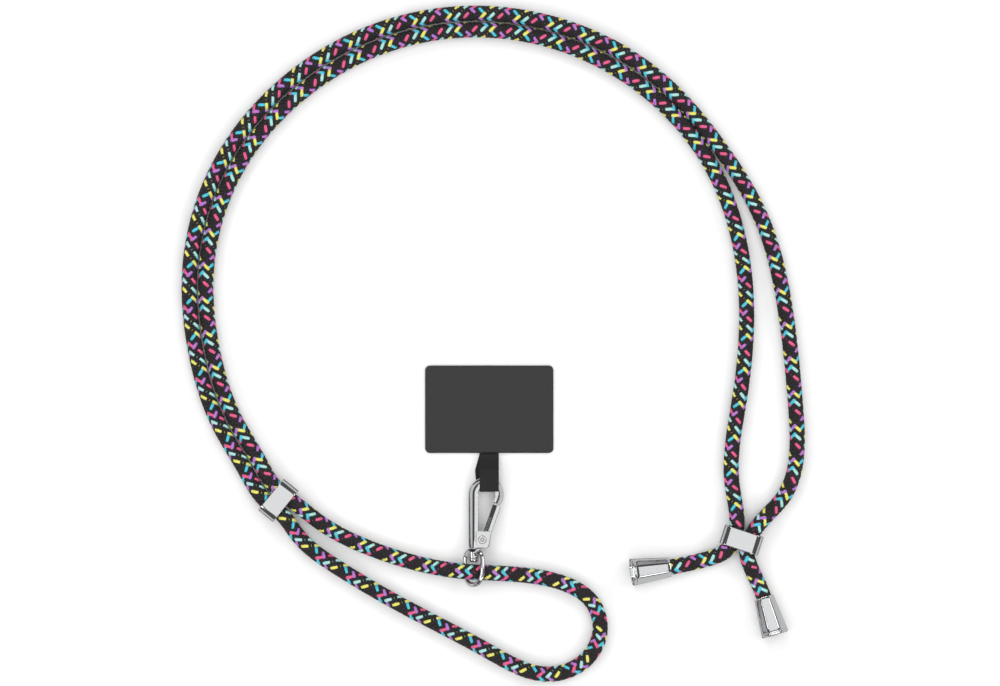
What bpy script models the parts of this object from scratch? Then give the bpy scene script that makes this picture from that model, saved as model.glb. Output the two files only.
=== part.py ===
"""Phone crossbody strap: one braided cord run double through two flat sliders, a flared cap on each
cord end, a trigger snap hook that swivels on an eye round the cord, and a flat patch with a webbing
tab that goes inside a phone case.

Metres, +Z up. The origin is the middle of the patch's underside, on the surface that the strap lies on.
+Y runs from the hook towards the patch and +X towards the cord's ends.
"""

import math

import bmesh
import bpy
import numpy as np
from mathutils import Matrix, Vector

# Clearances
GAP = 0.0003
PIN_GAP = 0.0002

# Cord
CORD_D = 0.0065
CORD_SIDES_LEVEL = 3
STEP_LONGEST = 0.0245
STEP_TURN = math.radians(22)
PAIR_SPACING = 0.0069

# Sliders
SLIDER_LENGTH = 0.0080
SLIDER_WALL = 0.0011
SLIDER_SIDE_WALL = 0.00095
SLIDER_SPLAY = 0.0008
SLIDER_CORNER = 0.0036
SLIDER_EDGE = 0.0003
# place of the middle, and the way that the cord runs through, in degrees from +X
SLIDER_RIGHT = ((0.1050, -0.0544), -108.3)
SLIDER_LEFT = ((-0.0878, -0.0379), -39.5)

# Cord end caps
CAP_LENGTH = 0.0162
CAP_MOUTH_D = 0.0080
CAP_RIM_D = 0.0112
CAP_FACETS = 8
CAP_WALL = 0.0008
CAP_THROAT = 0.0035
CAP_EDGE = 0.00015
CAP_CORD_IN = 0.0100
# place of the mouth, and the way that the cap points, in degrees from +X
CAP_A = ((0.0752, -0.0657), 187.6)
CAP_B = ((0.1144, -0.0783), -73.4)

# Swivel eye, an oval of round wire with a boss for the hook's stem
EYE_AT = (-0.0064, -0.0675)
EYE_HALF_WIDTH = 0.0059
EYE_HALF_LENGTH = 0.00695
EYE_FORWARD = 0.00155
EYE_POWER = 2.3
EYE_WIRE_D = 0.0019
EYE_TURN = math.radians(52)
EYE_BOSS_D = 0.0046
EYE_BOSS_LENGTH = 0.0040
EYE_LIFT = 0.0001

# Hook
STEM_D = 0.0024
STEM_HEAD_D = 0.0040
STEM_HEAD_HEIGHT = 0.0014
BAR_WIDTH = 0.0042
BAR_NOSE_WIDTH = 0.0036
BAR_THICK = 0.0038
BAR_CHAMFER = 0.0011
ARCH_RADIUS = 0.0054
ARCH_REACH = 0.0321
ARM_SIDE = 0.0002
NOSE_TURN = math.radians(22)
NOSE_LENGTH = 0.0038
BASE_THICK = 0.0046
BASE_HEIGHT = 0.0071
BASE_EDGE = 0.0004
PIVOT = (0.0035, 0.0132)
RIVET_D = 0.0014
RIVET_HEAD_D = 0.0034
RIVET_HEAD_HEIGHT = 0.0004

# Gate, measured from its pivot: along its length, and across it towards the hook's outside
GATE_LEAN = math.radians(70.5)
GATE_LENGTH = 0.0159
GATE_INNER = 0.00076
GATE_OUTER = 0.00266
GATE_THICK = 0.0020
GATE_BACK_WALL = 0.0006
GATE_CHANNEL_WIDTH = 0.0016
GATE_CHANNEL_START = 0.0040
GATE_END_RADIUS = 0.00125

# Tether
PATCH_SIZE = (0.0535, 0.0365)
PATCH_THICK = 0.0012
PATCH_CORNER = 0.0020
PATCH_EDGE = 0.00025
TAB_WIDTH = 0.0080
TAB_THICK = 0.0010
TAB_TAIL = 0.0080
TAB_TAIL_THICK = 0.0005

# The doubled run, from the right slider over the top to the left one: the middle between its two
# strands, and the spacing of the strands there.
DOUBLE_RUN = (
    (0.1117, -0.0342, 0.0217),
    (0.1158, 0.0031, 0.0234),
    (0.1153, 0.0404, 0.0162),
    (0.1083, 0.0769, 0.0114),
    (0.0941, 0.1057, PAIR_SPACING),
    (0.0664, 0.1367, PAIR_SPACING),
    (0.0295, 0.1561, PAIR_SPACING),
    (-0.0112, 0.1614, PAIR_SPACING),
    (-0.0514, 0.1522, PAIR_SPACING),
    (-0.0856, 0.1302, PAIR_SPACING),
    (-0.1100, 0.0987, PAIR_SPACING),
    (-0.1210, 0.0614, PAIR_SPACING),
    (-0.1187, 0.0239, PAIR_SPACING),
    (-0.1089, -0.0059, PAIR_SPACING),
    (-0.0989, -0.0232, PAIR_SPACING),
)
# The small loop, from the left slider through the hook's eye and back: x, y and how far the cord is
# lifted off the surface, as a share of its lift in the eye.
SMALL_LOOP = (
    (-0.0695, -0.0478, 0.0),
    (-0.0455, -0.0594, 0.0),
    (-0.0245, -0.0654, 0.0),
    (EYE_AT[0] - 0.0042, -0.0674, 1.0),
    (EYE_AT[0] + 0.0042, -0.0679, 1.0),
    (0.0118, -0.0688, 0.0),
    (0.0290, -0.0718, 0.0),
    (0.0433, -0.0810, 0.0),
    (0.0460, -0.0935, 0.0),
    (0.0381, -0.1060, 0.0),
    (0.0246, -0.1103, 0.0),
    (-0.0003, -0.1008, 0.0),
    (-0.0357, -0.0820, 0.0),
    (-0.0644, -0.0651, 0.0),
    (-0.0798, -0.0524, 0.0),
)
TAIL_A = (0.0866, -0.0634)
TAIL_B = (0.1096, -0.0673)

# The tab's outer face, from its tail under the patch round the hook's arch and back. Place out from
# the patch: -1 the tail's end, 0 the patch's edge, 1 the arch's outer side, 2 its throat. Then the
# height as a share of the tab's top, the width and the thickness as shares of the tab's own, and the
# shift aside as a share of the way to the arch's middle.
TAB_SECTIONS = (
    (-1.00, 0.00, 1.00, 0.50, 0.0),
    (-0.02, 0.00, 1.00, 0.50, 0.0),
    (0.14, 0.00, 1.00, 1.00, 0.3),
    (0.72, 0.00, 1.00, 1.00, 1.6),
    (1.46, 0.00, 0.95, 1.00, 1.4),
    (1.77, 0.00, 0.75, 1.00, 1.1),
    (1.94, 0.06, 0.58, 1.00, 1.0),
    (2.00, 0.20, 0.56, 1.00, 1.0),
    (2.00, 0.50, 0.56, 1.00, 1.0),
    (2.00, 0.78, 0.56, 1.00, 1.0),
    (1.99, 0.90, 0.80, 1.00, 0.5),
    (1.94, 0.97, 1.00, 1.00, 0.0),
    (1.78, 1.00, 1.00, 1.00, 0.0),
    (1.04, 0.99, 1.00, 1.00, 0.0),
    (0.68, 0.86, 1.00, 1.00, 0.0),
    (0.34, 0.52, 1.00, 1.00, 0.0),
    (0.14, 0.37, 1.00, 1.00, 0.0),
    (0.00, 0.335, 1.00, 1.00, 0.0),
)
IN_THROAT = TAB_SECTIONS[8]

# Sizes that follow from those above
CORD_R = CORD_D / 2
SLIDER_HOLE = (PAIR_SPACING + SLIDER_SPLAY + CORD_D + 2 * GAP, CORD_D + 2 * GAP)
SLIDER_WIDTH = SLIDER_HOLE[0] + 2 * SLIDER_SIDE_WALL
SLIDER_HEIGHT = SLIDER_HOLE[1] + 2 * SLIDER_WALL
CAP_BORE_D = CORD_D + 2 * GAP
CAP_SLOPE = math.atan2((CAP_RIM_D - CAP_MOUTH_D) / 2, CAP_LENGTH)
EYE_HEIGHT = EYE_HALF_WIDTH * math.sin(EYE_TURN) + EYE_WIRE_D / 2 + EYE_LIFT
EYE_BACK = EYE_FORWARD + EYE_HALF_LENGTH + EYE_WIRE_D / 2
BASE_START = EYE_BACK + GAP
ARM_X = -ARM_SIDE
ARCH_TOP = ARCH_REACH + ARCH_RADIUS
ARCH_HEIGHT = TAB_THICK + GAP + BAR_THICK / 2
HOOK_DROP = math.asin((EYE_HEIGHT - ARCH_HEIGHT) / (ARCH_TOP + BAR_WIDTH / 2))
TAB_TOP = ARCH_HEIGHT + BAR_THICK / 2 + BAR_WIDTH * math.sin(HOOK_DROP) + GAP + TAB_THICK
PATCH_BACK = -PATCH_SIZE[1] / 2
ARCH_X = EYE_AT[0] + ARM_X + ARCH_RADIUS
THROAT_DEPTH = math.sqrt((ARCH_RADIUS - BAR_WIDTH / 2) ** 2 - (IN_THROAT[2] * TAB_WIDTH / 2) ** 2)
TAB_PLACES = (
    PATCH_BACK - GAP + TAB_TAIL,
    PATCH_BACK - GAP,
    EYE_AT[1] + (ARCH_TOP + BAR_WIDTH / 2) * math.cos(HOOK_DROP),
    EYE_AT[1] + (ARCH_REACH + THROAT_DEPTH) * math.cos(HOOK_DROP) - GAP - TAB_THICK,
)


def natural_spline(knots, values, at):
    """The natural cubic spline through the rows of values at the knots, read at the places in at."""
    spans = np.diff(knots)
    slopes = np.diff(values, axis=0) / spans[:, None]
    inner = np.arange(1, len(knots) - 1)
    system = np.eye(len(knots))
    system[inner, inner - 1] = spans[:-1]
    system[inner, inner] = 2 * (spans[:-1] + spans[1:])
    system[inner, inner + 1] = spans[1:]
    bends = np.zeros_like(values)
    bends[1:-1] = 6 * (slopes[1:] - slopes[:-1])
    bends = np.linalg.solve(system, bends)
    k = np.clip(np.searchsorted(knots, at, side="right") - 1, 0, len(knots) - 2)
    t = (at - knots[k])[:, None]
    span = spans[k][:, None]
    first = slopes[k] - span * (2 * bends[k] + bends[k + 1]) / 6
    return values[k] + t * first + t**2 * bends[k] / 2 + t**3 * (bends[k + 1] - bends[k]) / (6 * span)


def heading(degrees):
    return np.array([math.cos(math.radians(degrees)), math.sin(math.radians(degrees))])


def chord_knots(points):
    return np.concatenate([[0.0], np.cumsum(np.linalg.norm(np.diff(points[:, :2], axis=0), axis=1))])


def strands():
    """The doubled run's two strands, right slider to left slider, as rows of x and y."""
    rows = np.array(DOUBLE_RUN)
    ends = np.array([SLIDER_RIGHT[0], SLIDER_LEFT[0]])
    middle = np.vstack([ends[:1], rows[:, :2], ends[1:]])
    knots = chord_knots(middle)
    nudge = 1e-4 * knots[-1]
    ahead = natural_spline(knots, middle, knots[1:-1] + nudge)
    along = ahead - natural_spline(knots, middle, knots[1:-1] - nudge)
    along /= np.linalg.norm(along, axis=1)[:, None]
    aside = np.stack([-along[:, 1], along[:, 0]], axis=1) * rows[:, 2:3] / 2
    return rows[:, :2] + aside, rows[:, :2] - aside


def through(slider, side, end):
    """Where a strand crosses a slider's end face. side is -1 or 1 across it, end -1 in and 1 out."""
    place, degrees = slider
    along = heading(degrees)
    across = np.array([-along[1], along[0]])
    spacing = PAIR_SPACING + (SLIDER_SPLAY / 2 if slider is SLIDER_RIGHT and end > 0 else 0.0)
    return np.array(place) + along * end * SLIDER_LENGTH / 2 + across * side * spacing / 2


def in_cap(cap, depth):
    """A point on a cap's axis at this depth from its mouth."""
    place, degrees = cap
    flat = np.array(place) + heading(degrees) * depth * math.cos(CAP_SLOPE)
    return (*flat, CAP_MOUTH_D / 2 + depth * math.sin(CAP_SLOPE))


def cord_route():
    """The points that the cord follows, from its end in the first cap to its end in the second."""
    low = CORD_R
    slider_height = SLIDER_HEIGHT / 2
    inner, outer = strands()
    route = [in_cap(CAP_A, CAP_CORD_IN), in_cap(CAP_A, 0.0), (*TAIL_A, low)]
    route += [(*through(SLIDER_RIGHT, -1, end), slider_height) for end in (1, -1)]
    route += [(*p, low) for p in inner]
    route += [(*through(SLIDER_LEFT, 1, end), slider_height) for end in (-1, 1)]
    route += [(x, y, low + share * (EYE_HEIGHT - low)) for x, y, share in SMALL_LOOP]
    route += [(*through(SLIDER_LEFT, -1, end), slider_height) for end in (1, -1)]
    route += [(*p, low) for p in outer[::-1]]
    route += [(*through(SLIDER_RIGHT, 1, end), slider_height) for end in (-1, 1)]
    route += [(*TAIL_B, low), in_cap(CAP_B, 0.0), in_cap(CAP_B, CAP_CORD_IN)]
    return np.array(route)


def cord_points():
    """The cord's centreline: a smooth curve through its route, with the height eased between points.
    A span gets more points where it turns more."""
    route = cord_route()
    knots = chord_knots(route)
    flat = np.ascontiguousarray(route[:, :2])
    found = []
    for k in range(len(route) - 1):
        fine = np.linspace(knots[k], knots[k + 1], 9)
        legs = np.diff(natural_spline(knots, flat, fine), axis=0)
        angles = np.unwrap(np.arctan2(legs[:, 1], legs[:, 0]))
        turn = np.abs(np.diff(angles)).sum()
        count = max(1, math.ceil((knots[k + 1] - knots[k]) / STEP_LONGEST), round(turn / STEP_TURN))
        share = np.arange(count) / count
        xy = natural_spline(knots, flat, knots[k] + share * (knots[k + 1] - knots[k]))
        z = route[k, 2] + (3 * share**2 - 2 * share**3) * (route[k + 1, 2] - route[k, 2])
        found.append(np.column_stack([xy, z]))
    found.append(route[-1:])
    return np.vstack(found)


def material(name, colour, roughness, metallic=0.0):
    made = bpy.data.materials.new(name)
    made.use_nodes = True
    shader = made.node_tree.nodes["Principled BSDF"]
    shader.inputs["Base Color"].default_value = (*colour, 1.0)
    shader.inputs["Roughness"].default_value = roughness
    shader.inputs["Metallic"].default_value = metallic
    made.diffuse_color = (*colour, 1.0)
    return made


def placed(name, data, finish=None, parent=None, matrix=None):
    """A new object in the scene, with its finish and its parent."""
    obj = bpy.data.objects.new(name, data)
    bpy.context.scene.collection.objects.link(obj)
    if finish:
        data.materials.append(finish)
    if parent:
        obj.parent = parent
    if matrix is not None:
        obj.matrix_local = matrix
    return obj


def mesh_of(name, points, faces):
    """A mesh with its normals facing out."""
    mesh = bpy.data.meshes.new(name)
    mesh.from_pydata([tuple(p) for p in points], [], faces)
    shape = bmesh.new()
    shape.from_mesh(mesh)
    bmesh.ops.recalc_face_normals(shape, faces=shape.faces)
    shape.to_mesh(mesh)
    shape.free()
    mesh.shade_smooth()
    mesh.set_sharp_from_angle(angle=math.radians(35))
    return mesh


def tube_mesh(name, rings, closed=False):
    """A mesh through rings of points, all of one count. Its ends are capped unless it closes on itself."""
    count, sides = len(rings), len(rings[0])
    points = [p for ring in rings for p in ring]
    faces = []
    for i in range(count if closed else count - 1):
        a, b = i * sides, (i + 1) % count * sides
        faces += [(a + j, a + (j + 1) % sides, b + (j + 1) % sides, b + j) for j in range(sides)]
    if not closed:
        faces += [tuple(range(sides))[::-1], tuple(range((count - 1) * sides, count * sides))]
    return mesh_of(name, points, faces)


def prism(name, outline, low, high):
    """An outline of x and y, extruded from one height to another."""
    return tube_mesh(name, [[(x, y, z) for x, y in outline] for z in (low, high)])


def turned(name, profile, sides, axis="Z"):
    """A profile of radius and height, turned round the Z or the Y axis."""
    turns = [2 * math.pi * (j + 0.5) / sides for j in range(sides)]
    rings = [[(r * math.cos(t), r * math.sin(t), h) for t in turns] for r, h in profile]
    if axis == "Y":
        rings = [[(x, h, -y) for x, y, h in ring] for ring in rings]
    return tube_mesh(name, rings)


def rounded_outline(width, height, radius, steps):
    """A rounded rectangle about the origin, anticlockwise."""
    corners = ((1, 1, 0), (-1, 1, 90), (-1, -1, 180), (1, -1, 270))
    found = []
    for sx, sy, start in corners:
        middle = np.array([sx * (width / 2 - radius), sy * (height / 2 - radius)])
        found += [tuple(middle + radius * heading(start + 90 * i / steps)) for i in range(steps + 1)]
    return found


def helper(obj):
    """Marks a cutter or a joined shape, which is no piece of its own."""
    obj.hide_render = True
    obj.display_type = "WIRE"
    return obj


def combine(obj, other, operation):
    step = obj.modifiers.new(other.name, "BOOLEAN")
    step.operation = operation
    step.object = helper(other)


def soften(obj, width, segments=2):
    step = obj.modifiers.new("edges", "BEVEL")
    step.width = width
    step.segments = segments
    step.limit_method = "ANGLE"
    step.angle_limit = math.radians(40)


def make_cord(finish):
    """The braided cord as a plain round tube along its route."""
    curve = bpy.data.curves.new("cord", "CURVE")
    curve.dimensions = "3D"
    curve.bevel_depth = CORD_R
    curve.bevel_resolution = CORD_SIDES_LEVEL
    curve.use_fill_caps = True
    points = cord_points()
    line = curve.splines.new("POLY")
    line.points.add(len(points) - 1)
    for point, place in zip(line.points, points):
        point.co = (*place, 1.0)
    placed("cord", curve, finish)


def make_slider(name, place, finish):
    """A flat sleeve round both strands of the cord, its hole along the local X axis."""
    (x, y), degrees = place
    outer = rounded_outline(SLIDER_WIDTH, SLIDER_HEIGHT, SLIDER_CORNER, 5)
    hole = rounded_outline(*SLIDER_HOLE, SLIDER_CORNER - SLIDER_SIDE_WALL, 5)
    ends = (-SLIDER_LENGTH / 2, SLIDER_LENGTH / 2)
    rings = [[(end, u, v) for u, v in outline] for outline, end in
             ((outer, ends[0]), (outer, ends[1]), (hole, ends[1]), (hole, ends[0]))]
    turn = Matrix.Rotation(math.radians(degrees), 4, "Z")
    matrix = Matrix.Translation((x, y, SLIDER_HEIGHT / 2)) @ turn
    soften(placed(name, tube_mesh(name, rings, closed=True), finish, matrix=matrix), SLIDER_EDGE)


def make_cap(name, place, finish):
    """A flared cap with flat facets, its mouth at the origin and its axis along local Z. It lies on
    one facet, so its axis slopes up from the mouth."""
    (x, y), degrees = place
    mouth, rim = CAP_MOUTH_D / 2, CAP_RIM_D / 2
    to_corner = 1 / math.cos(math.pi / CAP_FACETS)
    outer = ((mouth * to_corner, 0.0), (rim * to_corner, CAP_LENGTH))
    bore, wide = CAP_BORE_D / 2, rim - CAP_WALL
    hollow = ((bore, -CAP_WALL), (bore, CAP_THROAT), (wide, CAP_LENGTH), (wide, CAP_LENGTH + CAP_WALL))
    lean = Matrix.Rotation(math.pi / 2 - CAP_SLOPE, 4, "Y")
    turn = Matrix.Rotation(math.radians(degrees), 4, "Z")
    matrix = Matrix.Translation((x, y, mouth)) @ turn @ lean
    cap = placed(name, turned(name, outer, CAP_FACETS), finish, matrix=matrix)
    combine(cap, placed(name + "_hollow", turned(name, hollow, 20), matrix=matrix), "DIFFERENCE")
    soften(cap, CAP_EDGE)


def eye_wire(parent, finish):
    """The eye's oval: a round wire carried along a rounded oval in the local X and Y plane."""
    turns = np.linspace(0, 2 * math.pi, 32, endpoint=False)
    c, s = np.cos(turns), np.sin(turns)
    x = EYE_HALF_WIDTH * np.sign(c) * np.abs(c) ** (2 / EYE_POWER)
    y = EYE_FORWARD + EYE_HALF_LENGTH * np.sign(s) * np.abs(s) ** (2 / EYE_POWER)
    line = np.stack([x, y], axis=1)
    along = np.roll(line, -1, axis=0) - np.roll(line, 1, axis=0)
    along /= np.linalg.norm(along, axis=1)[:, None]
    out = np.stack([along[:, 1], -along[:, 0]], axis=1)
    sides = [2 * math.pi * j / 8 for j in range(8)]
    wire = EYE_WIRE_D / 2
    rings = [[(*(p + n * wire * math.cos(t)), wire * math.sin(t)) for t in sides] for p, n in zip(line, out)]
    return placed("swivel_eye", tube_mesh("swivel_eye", rings, closed=True), finish, parent,
                  Matrix.Rotation(-EYE_TURN, 4, "Y"))


def make_eye(parent, finish):
    """The swivel eye: its oval, the boss on it and the bore that the hook's stem turns in."""
    eye = eye_wire(parent, finish)
    low, high = EYE_BACK - EYE_BOSS_LENGTH, EYE_BACK
    edge = EYE_WIRE_D / 8
    radius = EYE_BOSS_D / 2
    boss = ((radius - edge, low), (radius, low + edge), (radius, high - edge), (radius - edge, high))
    bore = STEM_D / 2 + GAP
    through_boss = ((bore, low - radius), (bore, high + radius))
    combine(eye, placed("eye_boss", turned("eye_boss", boss, 16, "Y"), parent=parent), "UNION")
    combine(eye, placed("eye_bore", turned("eye_bore", through_boss, 12, "Y"), parent=parent), "DIFFERENCE")


def bar_line():
    """The hook's bar: its centreline in the hook's plane, up the arm, round the arch and down the nose."""
    centre = np.array([ARM_X + ARCH_RADIUS, ARCH_REACH])
    arc = [centre + ARCH_RADIUS * heading(a) for a in np.linspace(180, -math.degrees(NOSE_TURN), 15)]
    start = [np.array([ARM_X, BASE_START + BASE_HEIGHT / 4]), np.array([ARM_X, ARCH_REACH * 0.7])]
    end = arc[-1] + NOSE_LENGTH * np.array([-math.sin(NOSE_TURN), -math.cos(NOSE_TURN)])
    return np.array([*start, *arc, end])


def bar_section(width):
    """Half the bar's chamfered section: across the bar and through its thickness."""
    w, t, c = width / 2, BAR_THICK / 2, BAR_CHAMFER
    return ((w, t - c), (w - c, t), (c - w, t), (-w, t - c), (-w, c - t), (c - w, -t), (w - c, -t), (w, c - t))


def make_bar(parent, finish):
    line = bar_line()
    along = np.gradient(line, axis=0)
    along[0] = along[1] = (0.0, 1.0)
    along /= np.linalg.norm(along, axis=1)[:, None]
    left = np.stack([-along[:, 1], along[:, 0]], axis=1)
    share = np.clip((np.arange(len(line)) - 3) / (len(line) - 5), 0, 1)
    widths = BAR_WIDTH + share * (BAR_NOSE_WIDTH - BAR_WIDTH)
    rings = [[(*(p + n * u), v) for u, v in bar_section(w)] for p, n, w in zip(line, left, widths)]
    return placed("hook_frame", tube_mesh("hook_frame", rings), finish, parent)


def gate_frame(along, across):
    """A point of the gate, given along it from the pivot and across it towards the outside."""
    u = np.array([math.cos(GATE_LEAN), math.sin(GATE_LEAN)])
    n = np.array([u[1], -u[0]])
    return tuple(np.array(PIVOT) + along * u + across * n)


def gate_tip(radius, first, last, steps=6):
    """An arc about the pivot between two distances across the gate."""
    angles = np.linspace(math.asin(first / radius), math.asin(last / radius), steps)
    return [gate_frame(radius * math.cos(a), radius * math.sin(a)) for a in angles]


def make_hook_frame(parent, finish):
    """The hook's frame: bar, base with a slot for the gate, and the stem that turns in the eye. The
    nose is cut back to leave room for the gate."""
    frame = make_bar(parent, finish)
    left = ARM_X - BAR_WIDTH / 2
    right = gate_frame(GATE_END_RADIUS, GATE_OUTER)[0]
    top = BASE_START + BASE_HEIGHT
    shoulder = gate_frame(PIVOT[0], GATE_OUTER)
    outline = ((left, BASE_START), (right - BAR_CHAMFER, BASE_START), shoulder, (shoulder[0] - BASE_EDGE, top),
               (left, top))
    base = placed("hook_base", prism("hook_base", outline, -BASE_THICK / 2, BASE_THICK / 2), parent=parent)
    soften(base, BASE_EDGE, 1)
    combine(frame, base, "UNION")
    stem, head = STEM_D / 2, STEM_HEAD_D / 2
    head_top = EYE_BACK - EYE_BOSS_LENGTH - PIN_GAP
    head_low = head_top - STEM_HEAD_HEIGHT
    profile = ((head * 0.55, head_low), (head * 0.9, head_low + STEM_HEAD_HEIGHT * 0.35), (head, head_top),
               (stem, head_top), (stem, BASE_START + BASE_HEIGHT / 8))
    combine(frame, placed("hook_stem", turned("hook_stem", profile, 14, "Y"), parent=parent), "UNION")
    slot_left = PIVOT[0] - GATE_END_RADIUS - GAP
    slot_low = PIVOT[1] - GATE_END_RADIUS - GAP
    slot_half = GATE_THICK / 2 + GAP
    slot_right = PIVOT[0] + ARCH_RADIUS
    slot_top = top + GATE_END_RADIUS
    box = ((slot_left, slot_low), (slot_right, slot_low), (slot_right, slot_top), (slot_left, slot_top))
    combine(frame, placed("hook_slot", prism("hook_slot", box, -slot_half, slot_half), parent=parent), "DIFFERENCE")
    reach = GATE_LENGTH + GAP
    inside = gate_tip(reach, -ARCH_RADIUS, GATE_OUTER + GAP)
    inside += [gate_frame(GATE_LENGTH / 2, GATE_OUTER + GAP), gate_frame(GATE_LENGTH / 2, -ARCH_RADIUS / 2)]
    room = prism("gate_room", inside, -BAR_THICK, BAR_THICK)
    combine(frame, placed("gate_room", room, parent=parent), "DIFFERENCE")
    bore = RIVET_D / 2 + PIN_GAP
    rivet_hole = turned("rivet_hole", ((bore, -BASE_THICK), (bore, BASE_THICK)), 12)
    pivot = Matrix.Translation((*PIVOT, 0.0))
    combine(frame, placed("rivet_hole", rivet_hole, parent=parent, matrix=pivot), "DIFFERENCE")


def make_gate(parent, finish):
    """The gate: a bar from its rounded end on the rivet to its tip in the nose, with an open channel
    along its inner side."""
    end = [gate_frame(*(GATE_END_RADIUS * heading(a))) for a in np.linspace(60, 300, 9)]
    outline = [gate_frame(GATE_CHANNEL_START, -GATE_INNER), *end[::-1], gate_frame(GATE_END_RADIUS, GATE_OUTER)]
    outline += gate_tip(GATE_LENGTH, -GATE_INNER, GATE_OUTER)[::-1]
    local = [(x - PIVOT[0], y - PIVOT[1]) for x, y in outline]
    pivot = Matrix.Translation((*PIVOT, 0.0))
    half = GATE_THICK / 2
    gate = placed("hook_gate", prism("hook_gate", local, -half, half), finish, parent, pivot)
    channel_side = GATE_CHANNEL_WIDTH - GATE_INNER
    far = GATE_LENGTH + GATE_THICK
    channel = [gate_frame(GATE_CHANNEL_START, -GATE_THICK), gate_frame(GATE_CHANNEL_START, channel_side),
               gate_frame(far, channel_side), gate_frame(far, -GATE_THICK)]
    cut = prism("gate_channel", channel, GATE_BACK_WALL - half, GATE_THICK)
    combine(gate, placed("gate_channel", cut, parent=parent), "DIFFERENCE")
    bore = RIVET_D / 2 + PIN_GAP
    hole = turned("gate_hole", ((bore, -GATE_THICK), (bore, GATE_THICK)), 12)
    combine(gate, placed("gate_hole", hole, parent=parent, matrix=pivot), "DIFFERENCE")


def make_rivet(parent, finish):
    """The rivet: a pin with a low head on each face of the hook's base."""
    pin, head = RIVET_D / 2, RIVET_HEAD_D / 2
    low = BASE_THICK / 2 + PIN_GAP
    high = low + RIVET_HEAD_HEIGHT
    half = ((pin, low), (head, low), (head * 0.8, high))
    profile = [(r, -h) for r, h in half[::-1]] + list(half)
    placed("hook_rivet", turned("hook_rivet", profile, 16), finish, parent, Matrix.Translation((*PIVOT, 0.0)))


def make_tab(finish):
    """The webbing tab: a flat ribbon from under the patch, behind the hook's arch, through the hook
    and back over the arch to the patch's edge."""
    rows = np.array(TAB_SECTIONS)
    rows[:, 0] = np.interp(rows[:, 0], (-1, 0, 1, 2), TAB_PLACES)
    rows[:, 1] *= TAB_TOP
    knots = chord_knots(rows)
    at = np.unique(np.concatenate([np.linspace(a, b, 3) for a, b in zip(knots[:-1], knots[1:])]))
    out, up, width, thick, shift = (np.interp(at, knots, column) for column in rows.T)
    line = np.stack([out, up], axis=1)
    along = np.gradient(line, at, axis=0)
    along /= np.linalg.norm(along, axis=1)[:, None]
    inward = np.stack([along[:, 1], -along[:, 0]], axis=1) * (thick * TAB_THICK)[:, None]
    rings = []
    for p, n, w, s in zip(line, inward, width * TAB_WIDTH / 2, shift * ARCH_X):
        rings.append([(s - w, *p), (s + w, *p), (s + w, *(p + n)), (s - w, *(p + n))])
    placed("tether_tab", tube_mesh("tether_tab", rings), finish)


def make_patch(finish):
    """The flat patch, with a shallow pocket under its edge for the tab's tail."""
    outline = rounded_outline(*PATCH_SIZE, PATCH_CORNER, 5)
    patch = placed("patch_plate", prism("patch_plate", outline, 0.0, PATCH_THICK), finish)
    soften(patch, PATCH_EDGE, 1)
    half = TAB_WIDTH / 2 + GAP
    inner = PATCH_BACK + TAB_TAIL
    pocket = ((-half, PATCH_BACK - TAB_THICK), (half, PATCH_BACK - TAB_THICK), (half, inner), (-half, inner))
    cut = prism("tail_pocket", pocket, -TAB_THICK, TAB_TAIL_THICK + GAP)
    combine(patch, placed("tail_pocket", cut), "DIFFERENCE")


def make_strap():
    braid = material("braid", (0.06, 0.055, 0.06), 0.8)
    chrome = material("chrome", (0.82, 0.83, 0.85), 0.12, 1.0)
    webbing = material("webbing", (0.03, 0.03, 0.03), 0.75)
    patch = material("patch_cloth", (0.035, 0.035, 0.036), 0.6)
    hook = placed("hook_place", None)
    hook.location = Vector((*EYE_AT, EYE_HEIGHT))
    hook.rotation_euler = (-HOOK_DROP, 0.0, 0.0)
    make_cord(braid)
    make_slider("slider_left", SLIDER_LEFT, chrome)
    make_slider("slider_right", SLIDER_RIGHT, chrome)
    make_cap("end_cap_a", CAP_A, chrome)
    make_cap("end_cap_b", CAP_B, chrome)
    make_eye(hook, chrome)
    make_hook_frame(hook, chrome)
    make_gate(hook, chrome)
    make_rivet(hook, chrome)
    make_tab(webbing)
    make_patch(patch)


for old in list(bpy.data.objects):
    bpy.data.objects.remove(old)
make_strap()
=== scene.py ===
import math

import bpy
import numpy as np
from mathutils import Matrix, Vector


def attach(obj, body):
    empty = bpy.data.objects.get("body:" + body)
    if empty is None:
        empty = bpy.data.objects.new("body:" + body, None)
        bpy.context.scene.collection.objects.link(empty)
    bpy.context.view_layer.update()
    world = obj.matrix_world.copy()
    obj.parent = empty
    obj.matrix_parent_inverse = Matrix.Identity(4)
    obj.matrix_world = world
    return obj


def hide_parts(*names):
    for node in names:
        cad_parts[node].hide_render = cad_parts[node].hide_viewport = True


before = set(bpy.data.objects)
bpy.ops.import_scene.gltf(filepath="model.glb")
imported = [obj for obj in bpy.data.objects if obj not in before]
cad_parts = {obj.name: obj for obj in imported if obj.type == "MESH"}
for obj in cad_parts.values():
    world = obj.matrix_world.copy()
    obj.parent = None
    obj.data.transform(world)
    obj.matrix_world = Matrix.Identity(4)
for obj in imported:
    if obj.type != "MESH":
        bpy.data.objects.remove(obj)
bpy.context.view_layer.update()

# The cord and what it runs through
GAP = 0.0003
CORD_D = 0.0065
CORD_R = CORD_D / 2
PAIR_SPACING = 0.0069
SLIDER_LENGTH = 0.0080
SLIDER_WALL = 0.0011
SLIDER_SIDE_WALL = 0.00095
SLIDER_CORNER = 0.0036
SLIDER_EDGE = 0.00032
SLIDER_SPLAY = 0.0008
SLIDER_HOLE = (PAIR_SPACING + SLIDER_SPLAY + CORD_D + 2 * GAP, CORD_D + 2 * GAP)
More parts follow.
